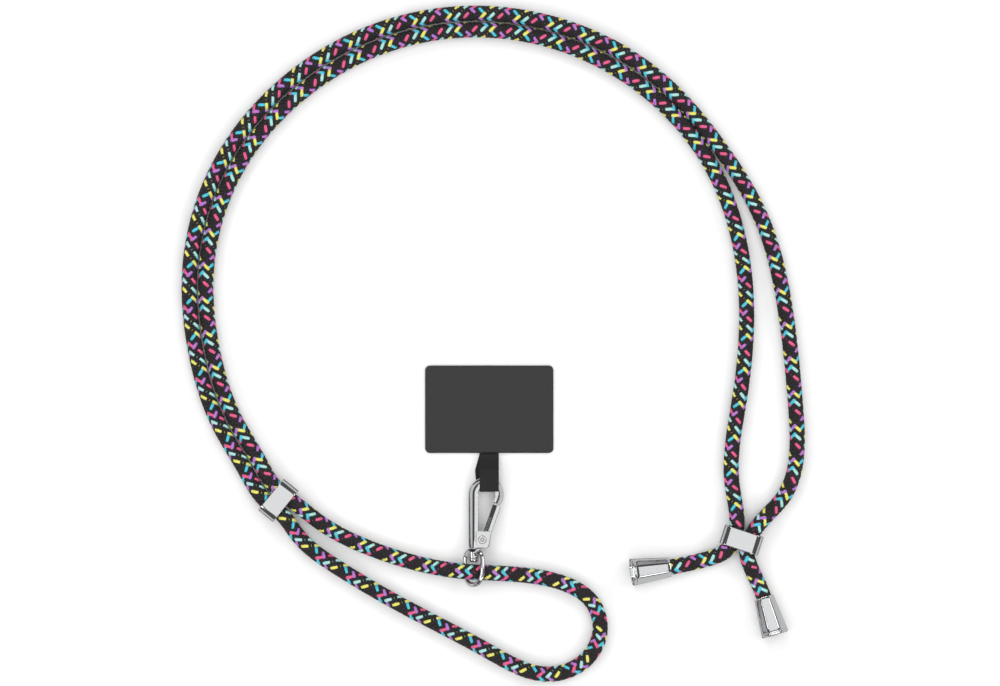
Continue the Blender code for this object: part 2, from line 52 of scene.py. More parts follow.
SLIDER_SIZE = (SLIDER_HOLE[0] + 2 * SLIDER_SIDE_WALL, SLIDER_HOLE[1] + 2 * SLIDER_WALL)
# where each slider's middle lies, and its turn in degrees
SLIDER_RIGHT = ((0.1050, -0.0544), -108.3)
SLIDER_LEFT = ((-0.0878, -0.0379), -39.5)
CAP_LENGTH = 0.0162
CAP_MOUTH_D = 0.0080
CAP_RIM_D = 0.0112
CAP_WALL = 0.0008
CAP_BORE_D = CORD_D + 2 * GAP
CAP_CORD_IN = 0.0100
CAP_SLOPE = math.atan2((CAP_RIM_D - CAP_MOUTH_D) / 2, CAP_LENGTH)
# where each cap's mouth lies, and the turn of its axis in degrees
CAP_A = ((0.0752, -0.0657), 187.6)
CAP_B = ((0.1144, -0.0783), -73.4)
EYE_AT = (-0.0064, -0.0675)
EYE_HALF_WIDTH = 0.0059
EYE_WIRE_R = 0.00095
EYE_TURN = math.radians(52)
EYE_LIFT = 0.0001
EYE_HEIGHT = EYE_HALF_WIDTH * math.sin(EYE_TURN) + EYE_WIRE_R + EYE_LIFT

# The cord's route: middle of the doubled run with the spacing of its two strands, then the small loop
# with its share of the lift in the eye, then a point on each tail
DOUBLE_RUN = (
    (0.1117, -0.0342, 0.0217),
    (0.1158, 0.0031, 0.0234),
    (0.1153, 0.0404, 0.0162),
    (0.1083, 0.0769, 0.0114),
    (0.0941, 0.1057, PAIR_SPACING),
    (0.0664, 0.1367, PAIR_SPACING),
    (0.0295, 0.1561, PAIR_SPACING),
    (-0.0112, 0.1614, PAIR_SPACING),
    (-0.0514, 0.1522, PAIR_SPACING),
    (-0.0856, 0.1302, PAIR_SPACING),
    (-0.1100, 0.0987, PAIR_SPACING),
    (-0.1210, 0.0614, PAIR_SPACING),
    (-0.1187, 0.0239, PAIR_SPACING),
    (-0.1089, -0.0059, PAIR_SPACING),
    (-0.0989, -0.0232, PAIR_SPACING),
)
SMALL_LOOP = (
    (-0.0695, -0.0478, 0.0),
    (-0.0455, -0.0594, 0.0),
    (-0.0245, -0.0654, 0.0),
    (EYE_AT[0] - 0.0042, -0.0674, 1.0),
    (EYE_AT[0] + 0.0042, -0.0679, 1.0),
    (0.0118, -0.0688, 0.0),
    (0.0290, -0.0718, 0.0),
    (0.0433, -0.0810, 0.0),
    (0.0460, -0.0935, 0.0),
    (0.0381, -0.1060, 0.0),
    (0.0246, -0.1103, 0.0),
    (-0.0003, -0.1008, 0.0),
    (-0.0357, -0.0820, 0.0),
    (-0.0644, -0.0651, 0.0),
    (-0.0798, -0.0524, 0.0),
)
TAIL_A = (0.0866, -0.0634)
TAIL_B = (0.1096, -0.0673)

# The braid: how far one yarn runs along the cord in a turn, where its middle lies, how far and how
# sharply it weaves up and down, and its half width
BRAID_PITCH = 0.0145
BRAID_RADIUS = 0.00268
BRAID_WEAVE = 0.00024
BRAID_SHARPNESS = 3.0
YARN_HALF = 0.00074
# across the yarn, as a share of its half width, and the height over its middle
YARN_SECTION = ((-1.0, -0.00034), (-0.52, 0.00029), (0.52, 0.00029), (1.0, -0.00034))
ROWS_A_TURN = 40
BRAID_HIDDEN = 0.0090
CORE_R = BRAID_RADIUS - 0.00020
CORE_STEP = 0.0014
CORE_SIDES = 12
YARNS_LEFT = ("yellow", "black", "mint", "black", "pink", "black", "black", "black")
YARNS_RIGHT = ("black", "purple", "black", "cyan", "black", "black", "black", "black")
YARNS_EACH_WAY = len(YARNS_LEFT)
# where a yellow yarn crosses the top of the cord, beside the eye
YELLOW_AT = (-0.0010, -0.0680)
# how the braid lies along the cord: share of the cord's length, how far it is turned about the cord in
# degrees, and how far it is shifted along it in eighths of the pitch
BRAID_LIE = (
    (0.000, 60, 5.5), (0.022, 72, 6.0), (0.041, 90, 6.5), (0.079, 86, 5.75), (0.098, 95, 5.25),
    (0.118, 84, 4.75), (0.137, 67, 4.4), (0.165, 73, 4.4), (0.194, 78, 4.0), (0.222, 73, 3.7),
    (0.251, 61, 3.25), (0.275, 54, 2.75), (0.308, 62, 2.25), (0.346, 71, 1.25), (0.375, 54, 0.75),
    (0.404, 42, 0.5), (0.432, 30, 0.0), (0.446, 20, 0.1), (0.461, 8, 0.25), (0.480, -6, 0.5),
    (0.495, -28, -0.1), (0.513, -32, -0.25), (0.530, -48, 0.2), (0.556, -37, 0.75), (0.585, -42, 1.5),
    (0.604, -45, 2.4), (0.633, -60, 3.0), (0.652, -66, 3.6), (0.685, -66, 4.5), (0.709, -73, 4.9),
    (0.737, -89, 5.5), (0.776, -92, 5.25), (0.814, -100, 4.8), (0.861, -106, 3.9), (0.888, -96, 3.0),
    (0.905, -112, 2.75), (0.928, -137, 2.75), (0.947, -116, 2.25), (0.970, -144, 2.0), (1.000, -140, 2.0),
)
YARN_COLOURS = {
    "black": (46, 42, 45),
    "yellow": (250, 244, 118),
    "mint": (184, 242, 236),
    "pink": (246, 100, 150),
    "purple": (196, 128, 222),
    "cyan": (86, 212, 236),
}


def natural_spline(knots, values, at):
    """The natural cubic spline through the rows of values at the knots, read at the places in at."""
    spans = np.diff(knots)
    slopes = np.diff(values, axis=0) / spans[:, None]
    inner = np.arange(1, len(knots) - 1)
    system = np.eye(len(knots))
    system[inner, inner - 1] = spans[:-1]
    system[inner, inner] = 2 * (spans[:-1] + spans[1:])
    system[inner, inner + 1] = spans[1:]
    bends = np.zeros_like(values)
    bends[1:-1] = 6 * (slopes[1:] - slopes[:-1])
    bends = np.linalg.solve(system, bends)
    k = np.clip(np.searchsorted(knots, at, side="right") - 1, 0, len(knots) - 2)
    t = (at - knots[k])[:, None]
    span = spans[k][:, None]
    first = slopes[k] - span * (2 * bends[k] + bends[k + 1]) / 6
    return values[k] + t * first + t**2 * bends[k] / 2 + t**3 * (bends[k + 1] - bends[k]) / (6 * span)


def heading(degrees):
    """The unit vector at this angle, anticlockwise from X."""
    return np.array([math.cos(math.radians(degrees)), math.sin(math.radians(degrees))])


def chord_knots(points):
    """The distance walked along the points in plan, from the first to each."""
    return np.concatenate([[0.0], np.cumsum(np.linalg.norm(np.diff(points[:, :2], axis=0), axis=1))])


def strands():
    """The doubled run's two strands: its middle line, moved half the spacing to each side."""
    rows = np.array(DOUBLE_RUN)
    ends = np.array([SLIDER_RIGHT[0], SLIDER_LEFT[0]])
    middle = np.vstack([ends[:1], rows[:, :2], ends[1:]])
    knots = chord_knots(middle)
    nudge = 1e-4 * knots[-1]
    ahead = natural_spline(knots, middle, knots[1:-1] + nudge)
    along = ahead - natural_spline(knots, middle, knots[1:-1] - nudge)
    along /= np.linalg.norm(along, axis=1)[:, None]
    aside = np.stack([-along[:, 1], along[:, 0]], axis=1) * rows[:, 2:3] / 2
    return rows[:, :2] + aside, rows[:, :2] - aside


def through(slider, side, end):
    """Where a strand crosses a slider's end face. side is -1 or 1 across it, end -1 in and 1 out."""
    place, degrees = slider
    along = heading(degrees)
    across = np.array([-along[1], along[0]])
    spacing = PAIR_SPACING + (SLIDER_SPLAY / 2 if slider is SLIDER_RIGHT and end > 0 else 0.0)
    return np.array(place) + along * end * SLIDER_LENGTH / 2 + across * side * spacing / 2


def in_cap(cap, depth):
    """A point on a cap's axis at this depth from its mouth."""
    place, degrees = cap
    flat = np.array(place) + heading(degrees) * depth * math.cos(CAP_SLOPE)
    return (*flat, CAP_MOUTH_D / 2 + depth * math.sin(CAP_SLOPE))


def cord_route():
    """The points that the cord follows, from its end in the first cap to its end in the second."""
    low, mid = CORD_R, SLIDER_SIZE[1] / 2
    inner, outer = strands()
    route = [in_cap(CAP_A, CAP_CORD_IN), in_cap(CAP_A, 0.0), (*TAIL_A, low)]
    route += [(*through(SLIDER_RIGHT, -1, end), mid) for end in (1, -1)]
    route += [(*p, low) for p in inner]
    route += [(*through(SLIDER_LEFT, 1, end), mid) for end in (-1, 1)]
    route += [(x, y, low + share * (EYE_HEIGHT - low)) for x, y, share in SMALL_LOOP]
    route += [(*through(SLIDER_LEFT, -1, end), mid) for end in (1, -1)]
    route += [(*p, low) for p in outer[::-1]]
    route += [(*through(SLIDER_RIGHT, 1, end), mid) for end in (-1, 1)]
    route += [(*TAIL_B, low), in_cap(CAP_B, 0.0), in_cap(CAP_B, CAP_CORD_IN)]
    return np.array(route)


def cord_line(step=0.0004):
    """The cord's centreline, one row each step of its length: a natural spline in x and y, with the
    height eased between the route's points as 3t^2 - 2t^3."""
    route = cord_route()
    knots = chord_knots(route)
    at = np.linspace(0, knots[-1], int(knots[-1] / step) * 2)
    k = np.clip(np.searchsorted(knots, at, side="right") - 1, 0, len(knots) - 2)
    t = (at - knots[k]) / (knots[k + 1] - knots[k])
    z = route[k, 2] + (3 * t**2 - 2 * t**3) * (route[k + 1, 2] - route[k, 2])
    line = np.column_stack([natural_spline(knots, np.ascontiguousarray(route[:, :2]), at), z])
    arc = np.concatenate([[0.0], np.cumsum(np.linalg.norm(np.diff(line, axis=0), axis=1))])
    even = np.linspace(0, arc[-1], int(arc[-1] / step))
    return even, np.stack([np.interp(even, arc, column) for column in line.T], axis=1)


class Line:
    """A curve in space with its own axes at each place: along it, up, and to its side."""

    def __init__(self, arc, points):
        self.arc = arc
        self.points = points
        along = np.gradient(points, arc, axis=0)
        along /= np.linalg.norm(along, axis=1)[:, None]
        up = np.array([0.0, 0.0, 1.0]) - along * along[:, 2:]
        self.up = up / np.linalg.norm(up, axis=1)[:, None]
        self.side = np.cross(along, self.up)

    def read(self, values, at):
        """The rows of values, read at these places along the curve."""
        return np.stack([np.interp(at, self.arc, column) for column in values.T], axis=-1)

    def around(self, at, angle, radius):
        """The points at these places along the curve, this far from it, turned this much from up."""
        up, side = self.read(self.up, at), self.read(self.side, at)
        out = up * np.cos(angle)[..., None] + side * np.sin(angle)[..., None]
        return self.read(self.points, at) + out * radius[..., None]


def add_object(name, mesh, materials, body, replaces=()):
    """An object with its finishes, riding on its body and in place of its solid."""
    made = bpy.data.objects.new(name, mesh)
    bpy.context.scene.collection.objects.link(made)
    for item in materials:
        mesh.materials.append(item)
    if body:
        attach(made, body)
    if replaces:
        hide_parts(*replaces)
    return made


def array_mesh(name, points, quads, slots=None, uv=None):
    """A mesh from arrays of points and quads, with a material slot for each quad and a UV for each
    point."""
    mesh = bpy.data.meshes.new(name)
    mesh.vertices.add(len(points))
    mesh.vertices.foreach_set("co", np.ascontiguousarray(points, dtype=np.float32).ravel())
    mesh.loops.add(quads.size)
    mesh.loops.foreach_set("vertex_index", quads.astype(np.int32).ravel())
    mesh.polygons.add(len(quads))
    mesh.polygons.foreach_set("loop_start", np.arange(0, quads.size, 4, dtype=np.int32))
    if slots is not None:
        mesh.polygons.foreach_set("material_index", slots.astype(np.int32))
    mesh.update(calc_edges=True)
    if uv is not None:
        layer = mesh.uv_layers.new(name="lay")
        layer.data.foreach_set("uv", np.ascontiguousarray(uv[quads.ravel()], dtype=np.float32).ravel())
    mesh.validate()
    mesh.shade_smooth()
    return mesh


def grid_quads(rows, columns, closed_rows=False, closed_columns=False):
    """The quads of a grid of points that is stored row by row."""
    i = np.arange(rows if closed_rows else rows - 1)[:, None]
    j = np.arange(columns if closed_columns else columns - 1)[None, :]
    i2, j2 = (i + 1) % rows, (j + 1) % columns
    corners = (i * columns + j, i * columns + j2, i2 * columns + j2, i2 * columns + j)
    return np.stack(corners, axis=-1).reshape(-1, 4)


def surface(name, points, closed_rows=False, closed_columns=False, ends=False, flip=False, uv=None,
            sharp=None):
    """A mesh over a grid of points, as rows of columns. ends closes its first and last row, and edges
    over the angle in sharp stay sharp."""
    rows, columns = points.shape[:2]
    quads = grid_quads(rows, columns, closed_rows, closed_columns)
    faces = quads.tolist()
    if ends:
        faces += [list(range(columns))[::-1], list(range((rows - 1) * columns, rows * columns))]
    if flip:
        faces = [f[::-1] for f in faces]
    mesh = bpy.data.meshes.new(name)
    mesh.from_pydata(points.reshape(-1, 3).tolist(), [], faces)
    if uv is not None:
        layer = mesh.uv_layers.new(name="lay")
        index = np.zeros(len(mesh.loops), dtype=np.int32)
        mesh.loops.foreach_get("vertex_index", index)
        layer.data.foreach_set("uv", np.ascontiguousarray(uv.reshape(-1, 2)[index], dtype=np.float32).ravel())
    mesh.shade_smooth()
    if sharp:
        mesh.set_sharp_from_angle(angle=math.radians(sharp))
    return mesh


def join_meshes(name, meshes, slots=None, sharp=35):
    """One mesh from several, each with its own faces and finish. slots gives one number for a whole
    mesh, or one for each of its faces."""
    points, faces, finish_of = [], [], []
    for mesh, slot in zip(meshes, slots or [0] * len(meshes)):
        base = len(points)
        points += [tuple(v.co) for v in mesh.vertices]
        faces += [[base + v for v in p.vertices] for p in mesh.polygons]
        finish_of += list(np.broadcast_to(slot, len(mesh.polygons)))
    joined = bpy.data.meshes.new(name)
    joined.from_pydata(points, [], faces)
    joined.polygons.foreach_set("material_index", finish_of)
    joined.shade_smooth()
    joined.set_sharp_from_angle(angle=math.radians(sharp))
    return joined


def rounded_outline(width, height, radius, steps=10):
    """A rounded rectangle about the origin, anticlockwise, as an array of points."""
    found = []
    for sx, sy, start in ((1, 1, 0), (-1, 1, 90), (-1, -1, 180), (1, -1, 270)):
        middle = np.array([sx * (width / 2 - radius), sy * (height / 2 - radius)])
        found += [middle + radius * heading(start + 90 * i / steps) for i in range(steps + 1)]
    return np.array(found)


def rounded_polygon(corners, radii, steps=5):
    """A polygon given anticlockwise, each corner turned into an arc that touches both its sides."""
    corners = np.array(corners, dtype=float)
    found = []
    for k, (corner, radius) in enumerate(zip(corners, radii)):
        back, ahead = corners[k - 1] - corner, corners[(k + 1) % len(corners)] - corner
        back /= np.linalg.norm(back)
        ahead /= np.linalg.norm(ahead)
        half = math.acos(float(np.clip(back @ ahead, -1, 1))) / 2
        middle = (back + ahead) / np.linalg.norm(back + ahead) * radius / math.sin(half)
        spoke = back * radius / math.tan(half) - middle
        turn = math.copysign(math.pi - 2 * half, ahead[0] * back[1] - ahead[1] * back[0])
        angle = turn * np.linspace(0, 1, steps + 1)
        c, s = np.cos(angle), np.sin(angle)
        arc = np.stack([spoke[0] * c - spoke[1] * s, spoke[0] * s + spoke[1] * c], axis=1)
        found.append(corner + middle + arc)
    return np.vstack(found)


def inset(outline, amount):
    """An anticlockwise outline moved inwards, each point at right angles to the line of its neighbours."""
    along = np.roll(outline, -1, axis=0) - np.roll(outline, 1, axis=0)
    along /= np.linalg.norm(along, axis=1)[:, None]
    return outline + amount * np.stack([-along[:, 1], along[:, 0]], axis=1)


def slab(name, outline, low, high, edge):
    """An outline carried from one height to another, its two rims rounded as quarter circles, with a
    flat border inside each."""
    border = 1.25 * edge
    rim = [(edge * (1 - s), edge * (1 - c)) for c, s in map(heading, np.linspace(0, 90, 6))]
    rows = [(border, low)] + [(inwards, low + rise) for inwards, rise in rim]
    rows += [(inwards, high - rise) for inwards, rise in rim[::-1]] + [(border, high)]
    rings = [np.column_stack([inset(outline, inwards), np.full(len(outline), z)]) for inwards, z in rows]
    return surface(name, np.array(rings), closed_columns=True, ends=True)


# Finishes


def linear(colour):
    """A display colour of 0 to 255 as linear light."""
    c = np.array(colour) / 255
    return tuple(np.where(c <= 0.04045, c / 12.92, ((c + 0.055) / 1.055) ** 2.4)) + (1.0,)


class Nodes:
    """Adds nodes to a node tree and links them."""

    def __init__(self, tree):
        self.tree = tree

    def add(self, kind, inputs=None, **settings):
        made = self.tree.nodes.new(kind)
        for key, value in settings.items():
            setattr(made, key, value)
        for key, value in (inputs or {}).items():
            if isinstance(value, bpy.types.NodeSocket):
                self.tree.links.new(value, made.inputs[key])
            else:
                made.inputs[key].default_value = value
        return made

    def math(self, operation, first, second=0.0, third=0.0):
        return self.add("ShaderNodeMath", {0: first, 1: second, 2: third}, operation=operation).outputs[0]

    def blend(self, *parts):
        """The sum of some values, each times its weight."""
        total = 0.0
        for value, weight in parts:
            total = self.math("MULTIPLY_ADD", value, weight, total)
        return total

    def mix(self, share, first, second):
        return self.add("ShaderNodeMix", {0: share, 6: first, 7: second}, data_type="RGBA").outputs[2]

    def stretch(self, vector, scale):
        return self.add("ShaderNodeVectorMath", {0: vector, 1: scale}, operation="MULTIPLY").outputs[0]

    def noise(self, vector, scale, detail, roughness=0.5):
        given = {"Vector": vector, "Scale": scale, "Detail": detail, "Roughness": roughness}
        return self.add("ShaderNodeTexNoise", given).outputs["Fac"]

    def place(self):
        return self.add("ShaderNodeTexCoord").outputs["Object"]

    def lay(self):
        return self.add("ShaderNodeUVMap", uv_map="lay").outputs[0]

    def feed(self, sockets, values):
        """Links each value to the socket of its name."""
        for key, value in values.items():
            self.tree.links.new(value, sockets[key])


def new_group(name, inputs):
    """A node group with named inputs, which puts out a colour, a roughness and a bump height. Returns
    its nodes, its input and its output."""
    tree = bpy.data.node_groups.new(name, "ShaderNodeTree")
    for label, kind in inputs:
        tree.interface.new_socket(label, in_out="INPUT", socket_type="NodeSocket" + kind)
    for label, kind in (("Color", "Color"), ("Roughness", "Float"), ("Height", "Float")):
        tree.interface.new_socket(label, in_out="OUTPUT", socket_type="NodeSocket" + kind)
    nodes = Nodes(tree)
    return nodes, nodes.add("NodeGroupInput").outputs, nodes.add("NodeGroupOutput").inputs


BLACK = (0.0, 0.0, 0.0, 1.0)
DULLED_PLATING = (0.45, 0.46, 0.48, 1.0)
# filaments that cross a yarn's edge in each metre along it
FILAMENT_LEAN = 900.0
# stretches of the noise along and across a yarn, and on a fitting
FUZZ_SCALE = (1800.0, 5.0, 0.0)
PATCHY_SCALE = (260.0, 0.7, 0.0)
SCRATCH_SCALE = (900.0, 6000.0, 2500.0)


def fibre_group():
    """Twisted filaments along a yarn, with fuzz: a colour, darker as painted shade between the filaments and
    varied at random by the fuzz and patches, a roughness and a bump height.
    """
    nodes, given, out = new_group(
        "yarn_fibres", [("Tint", "Color"), ("Filaments", "Float"), ("Shade", "Float")])
    uv = nodes.lay()
    split = nodes.add("ShaderNodeSeparateXYZ", {0: uv}).outputs
    across = nodes.math("MULTIPLY", split[1], given["Filaments"])
    lean = nodes.math("MULTIPLY_ADD", split[0], FILAMENT_LEAN, across)
    wave = nodes.math("ABSOLUTE", nodes.math("SINE", nodes.math("MULTIPLY", lean, math.pi)))
    fuzz = nodes.noise(nodes.stretch(uv, FUZZ_SCALE), 1.0, 3.0, 0.6)
    patchy = nodes.noise(nodes.stretch(uv, PATCHY_SCALE), 1.0, 2.0)
    # the colour darkens towards Shade where the filaments dip: painted shade between them, with random fuzz
    # and patches
    light = nodes.blend((wave, 0.35), (fuzz, 0.55), (patchy, 0.25))
    dark = nodes.mix(given["Shade"], given["Tint"], BLACK)
    nodes.feed(out, {
        "Color": nodes.mix(nodes.math("MINIMUM", light, 1.0), dark, given["Tint"]),
        "Roughness": nodes.math("MULTIPLY_ADD", fuzz, 0.3, 0.38),
        "Height": nodes.blend((wave, 0.7), (fuzz, 0.6)),
    })
    return nodes.tree


def weave_group():
    """A plain weave of threads on two axes: a colour, darker as painted shade where the threads dip and
    varied at random by the grain, a roughness and a bump height.
    """
    nodes, given, out = new_group(
        "plain_weave", [("Vector", "Vector"), ("Tint", "Color"), ("Threads", "Float"), ("Shade", "Float")])
    spread = {0: given["Vector"], "Scale": given["Threads"]}
    scaled = nodes.add("ShaderNodeVectorMath", spread, operation="SCALE").outputs[0]
    split = nodes.add("ShaderNodeSeparateXYZ", {0: scaled}).outputs
    warp, weft = [nodes.math("SINE", nodes.math("MULTIPLY", split[k], math.pi)) for k in (0, 1)]
    share = nodes.math("GREATER_THAN", nodes.math("MULTIPLY", warp, weft), 0.0)
    threads = {0: share, 2: nodes.math("ABSOLUTE", warp), 3: nodes.math("ABSOLUTE", weft)}
    top = nodes.add("ShaderNodeMix", threads, data_type="FLOAT").outputs[0]
    grain = nodes.noise(scaled, 1.7, 3.0)
    height = nodes.blend((top, 0.75), (grain, 0.4))
    # the colour darkens towards Shade with the height: painted shade between the threads, with random grain
    dark = nodes.mix(given["Shade"], given["Tint"], BLACK)
    nodes.feed(out, {
        "Color": nodes.mix(nodes.math("MINIMUM", height, 1.0), dark, given["Tint"]),
        "Roughness": nodes.math("MULTIPLY_ADD", grain, 0.25, 0.5),
        "Height": height,
    })
    return nodes.tree


def wear_group():
    """Polished plating with fine scratches and faint cloudiness: a colour, roughness and height."""
    nodes, given, out = new_group("plating_wear", [("Tint", "Color"), ("Polish", "Float"), ("Wear", "Float")])
    place = nodes.place()
    cloud = nodes.noise(place, 260.0, 3.0)
    scratch = nodes.noise(nodes.stretch(place, SCRATCH_SCALE), 1.0, 2.0)
    marks = nodes.add("ShaderNodeMapRange", {"Value": scratch, "From Min": 0.62, "From Max": 0.74}).outputs[0]
    worn = nodes.math("MULTIPLY", nodes.math("MULTIPLY_ADD", cloud, 0.6, marks), given["Wear"])
    nodes.feed(out, {
        "Color": nodes.mix(nodes.math("MULTIPLY", worn, 1.2), given["Tint"], DULLED_PLATING),
        "Roughness": nodes.math("ADD", worn, given["Polish"]),
        "Height": nodes.math("MULTIPLY_ADD", cloud, 0.5, marks),
    })
    return nodes.tree


def finish(name, group, values, bump, constants, vector=None):
    """A material from a shared group: the group's outputs feed the shader, which holds the constants.
    bump gives its strength and distance, and vector what the pattern lies on: lay or place."""
    made = bpy.data.materials.new(name)
    made.use_nodes = True
    nodes = Nodes(made.node_tree)
    shader = made.node_tree.nodes["Principled BSDF"].inputs
    effect = nodes.add("ShaderNodeGroup", values, node_tree=group)
    if vector == "lay":
        nodes.feed(effect.inputs, {"Vector": nodes.lay()})
    if vector == "place":
        nodes.feed(effect.inputs, {"Vector": nodes.place()})
    strength, distance = bump
    relief = {"Height": effect.outputs["Height"], "Strength": strength, "Distance": distance}
    nodes.feed(shader, {
        "Base Color": effect.outputs["Color"],
        "Roughness": effect.outputs["Roughness"],
        "Normal": nodes.add("ShaderNodeBump", relief).outputs[0],
    })
    for key, value in constants.items():
        shader[key].default_value = value
    made.diffuse_color = values["Tint"]
    return made


FIBRES = fibre_group()
WEAVE = weave_group()
WEAR = wear_group()
YARNS = {
    name: finish("yarn_" + name, FIBRES,
                 {"Tint": linear(colour), "Filaments": 5.0, "Shade": 0.8 if name == "black" else 0.42},
                 (0.5, 0.0001), {"Sheen Weight": 0.05, "Specular IOR Level": 0.3})
    for name, colour in YARN_COLOURS.items()
}
CORE = finish("cord_core", FIBRES, {"Tint": linear((26, 24, 26)), "Filaments": 40.0, "Shade": 0.6},
              (0.4, 0.0001), {"Specular IOR Level": 0.2})
METAL = {"Metallic": 1.0}
CHROME = finish("chrome", WEAR, {"Tint": (0.80, 0.81, 0.82, 1.0), "Polish": 0.05, "Wear": 0.07},
                (0.03, 0.0001), METAL)
# near-black plating that paints the shade in the gate's channel and in the gap under the hook's base
PAINTED_SHADE_STEEL = finish("painted_shade_steel", WEAR, {"Tint": (0.035, 0.035, 0.038, 1.0), "Polish": 0.35, "Wear": 0.25},
                    (0.1, 0.0001), METAL)
# the spring's own steel, also painted as shade into the rivet's groove and ring
SPRING_STEEL_AND_RIVET_SHADE = finish("spring_steel_and_rivet_shade", WEAR, {"Tint": (0.50, 0.50, 0.51, 1.0), "Polish": 0.22, "Wear": 0.15},
               (0.05, 0.0001), METAL)
WEBBING = finish("webbing", WEAVE, {"Tint": linear((42, 41, 42)), "Threads": 2600.0, "Shade": 0.7},
                 (0.6, 0.00012), {"Sheen Weight": 0.06, "Specular IOR Level": 0.22}, "lay")
PATCH = finish("patch_cloth", WEAVE, {"Tint": linear((55, 55, 56)), "Threads": 2400.0, "Shade": 0.6},
               (0.5, 0.0001), {"Sheen Weight": 0.15, "Specular IOR Level": 0.3}, "place")


# The cord


def yarn_rows(line, start, hand):
    """One yarn of the braid. It winds round the cord once a pitch, left-handed where hand is -1, and
    lies high where the sine of four times its angle has the hand's opposite sign, with the sine
    flattened by a hyperbolic tangent. Each row goes across the yarn, over its crown."""
    length = line.arc[-1]
    step = BRAID_PITCH / ROWS_A_TURN
    at = np.arange(BRAID_HIDDEN + (start % step), length - BRAID_HIDDEN, step)
    share, turned, shifted = np.array(BRAID_LIE).T
    start = start + np.interp(at / length, share, shifted) * BRAID_PITCH / YARNS_EACH_WAY
    angle = hand * (at + step / 2 - start) * 2 * math.pi / BRAID_PITCH
    wave = np.tanh(BRAID_SHARPNESS * np.sin(YARNS_EACH_WAY / 2 * angle)) / math.tanh(BRAID_SHARPNESS)
    lean = math.atan2(2 * math.pi * (BRAID_RADIUS + BRAID_WEAVE), BRAID_PITCH)
    across, crown = np.array(YARN_SECTION).T
    across = across[None, :] * YARN_HALF
    radius = BRAID_RADIUS - hand * BRAID_WEAVE * wave[:, None] + crown[None, :]
    s = at[:, None] + step / 2 - hand * across * math.sin(lean)
    turn = angle + np.radians(np.interp(at / length, share, turned))
    turn = turn[:, None] + across * math.cos(lean) / BRAID_RADIUS
    uv = np.stack(np.broadcast_arrays(at[:, None], across / YARN_HALF / 2), axis=-1)
    return line.around(s, turn, radius), uv


def make_yarns(name, line, hand, yarns, first):
    """Eight yarns that wind the same way, as one mesh with a finish for each colour."""
    names = list(YARN_COLOURS)
    points, quads, slots, uvs = [], [], [], []
    count = 0
    for k, colour in enumerate(yarns):
        rows, uv = yarn_rows(line, first + k * BRAID_PITCH / YARNS_EACH_WAY, hand)
        faces = grid_quads(*rows.shape[:2])
        points.append(rows.reshape(-1, 3))
        uvs.append(uv.reshape(-1, 2))
        quads.append(faces + count)
        slots.append(np.full(len(faces), names.index(colour)))
        count += rows.shape[0] * rows.shape[1]
    return array_mesh(name, np.vstack(points), np.vstack(quads), np.concatenate(slots), np.vstack(uvs))


def make_cord():
    """The braided cord: 16 yarns, eight each way, over a dark core. Returns them and the centreline."""
    arc, centre = cord_line()
    line = Line(arc, centre)
    near = np.linalg.norm(centre[:, :2] - np.array(YELLOW_AT), axis=1)
    half_a_yarn = BRAID_PITCH / YARNS_EACH_WAY / 2
    first = arc[near.argmin()] + half_a_yarn
    yarns = list(YARNS.values())
    left = make_yarns("cord_yarns_left", line, -1, YARNS_LEFT, first)
    right = make_yarns("cord_yarns_right", line, 1, YARNS_RIGHT, first + half_a_yarn)
    left = add_object("cord_yarns_left", left, yarns, "strap", ["cord"])
    right = add_object("cord_yarns_right", right, yarns, "strap")
    at = np.linspace(0, arc[-1], int(arc[-1] / CORE_STEP))
    turn = np.linspace(0, 2 * math.pi, CORE_SIDES, endpoint=False)
    s, around = np.broadcast_arrays(at[:, None], turn[None, :])
    tube = line.around(s, around, np.full(s.shape, CORE_R))
    uv = np.stack([s, around / (2 * math.pi)], axis=-1)
    core = surface("cord_core", tube, closed_columns=True, ends=True, uv=uv)
    return left, right, add_object("cord_core", core, [CORE], "strap"), line


# The fittings

CAP_LIP = 0.00018
# how far in the cap's wall is drawn at its mouth, and how many rows its outside has
CAP_BORE_START = 0.0018
CAP_ROWS = 12
CAP_FACETS = 8
CAP_ROUNDNESS = 0.018
CAP_GROOVE_AT = CAP_LENGTH - 0.0014
# the groove near the cap's rim: place along the cap, and depth
CAP_GROOVE = ((-0.0002, 0.0), (-0.0001, 0.0001), (0.0, 0.00016), (0.0001, 0.0001), (0.0002, 0.0))
# the cap's rim: how far out from the rim's radius, how far past the cap's length, and how flat its sides
CAP_RIM = (
    (-0.00002, -0.0009, 1.00),
    (0.00004, -0.0005, 0.90),
    (-0.00008, -0.0002, 0.90),
    (-0.00026, 0.0, 0.85),
    (CAP_LIP - CAP_WALL, 0.0, 0.80),
    (-CAP_WALL, -CAP_LIP, 0.70),
)


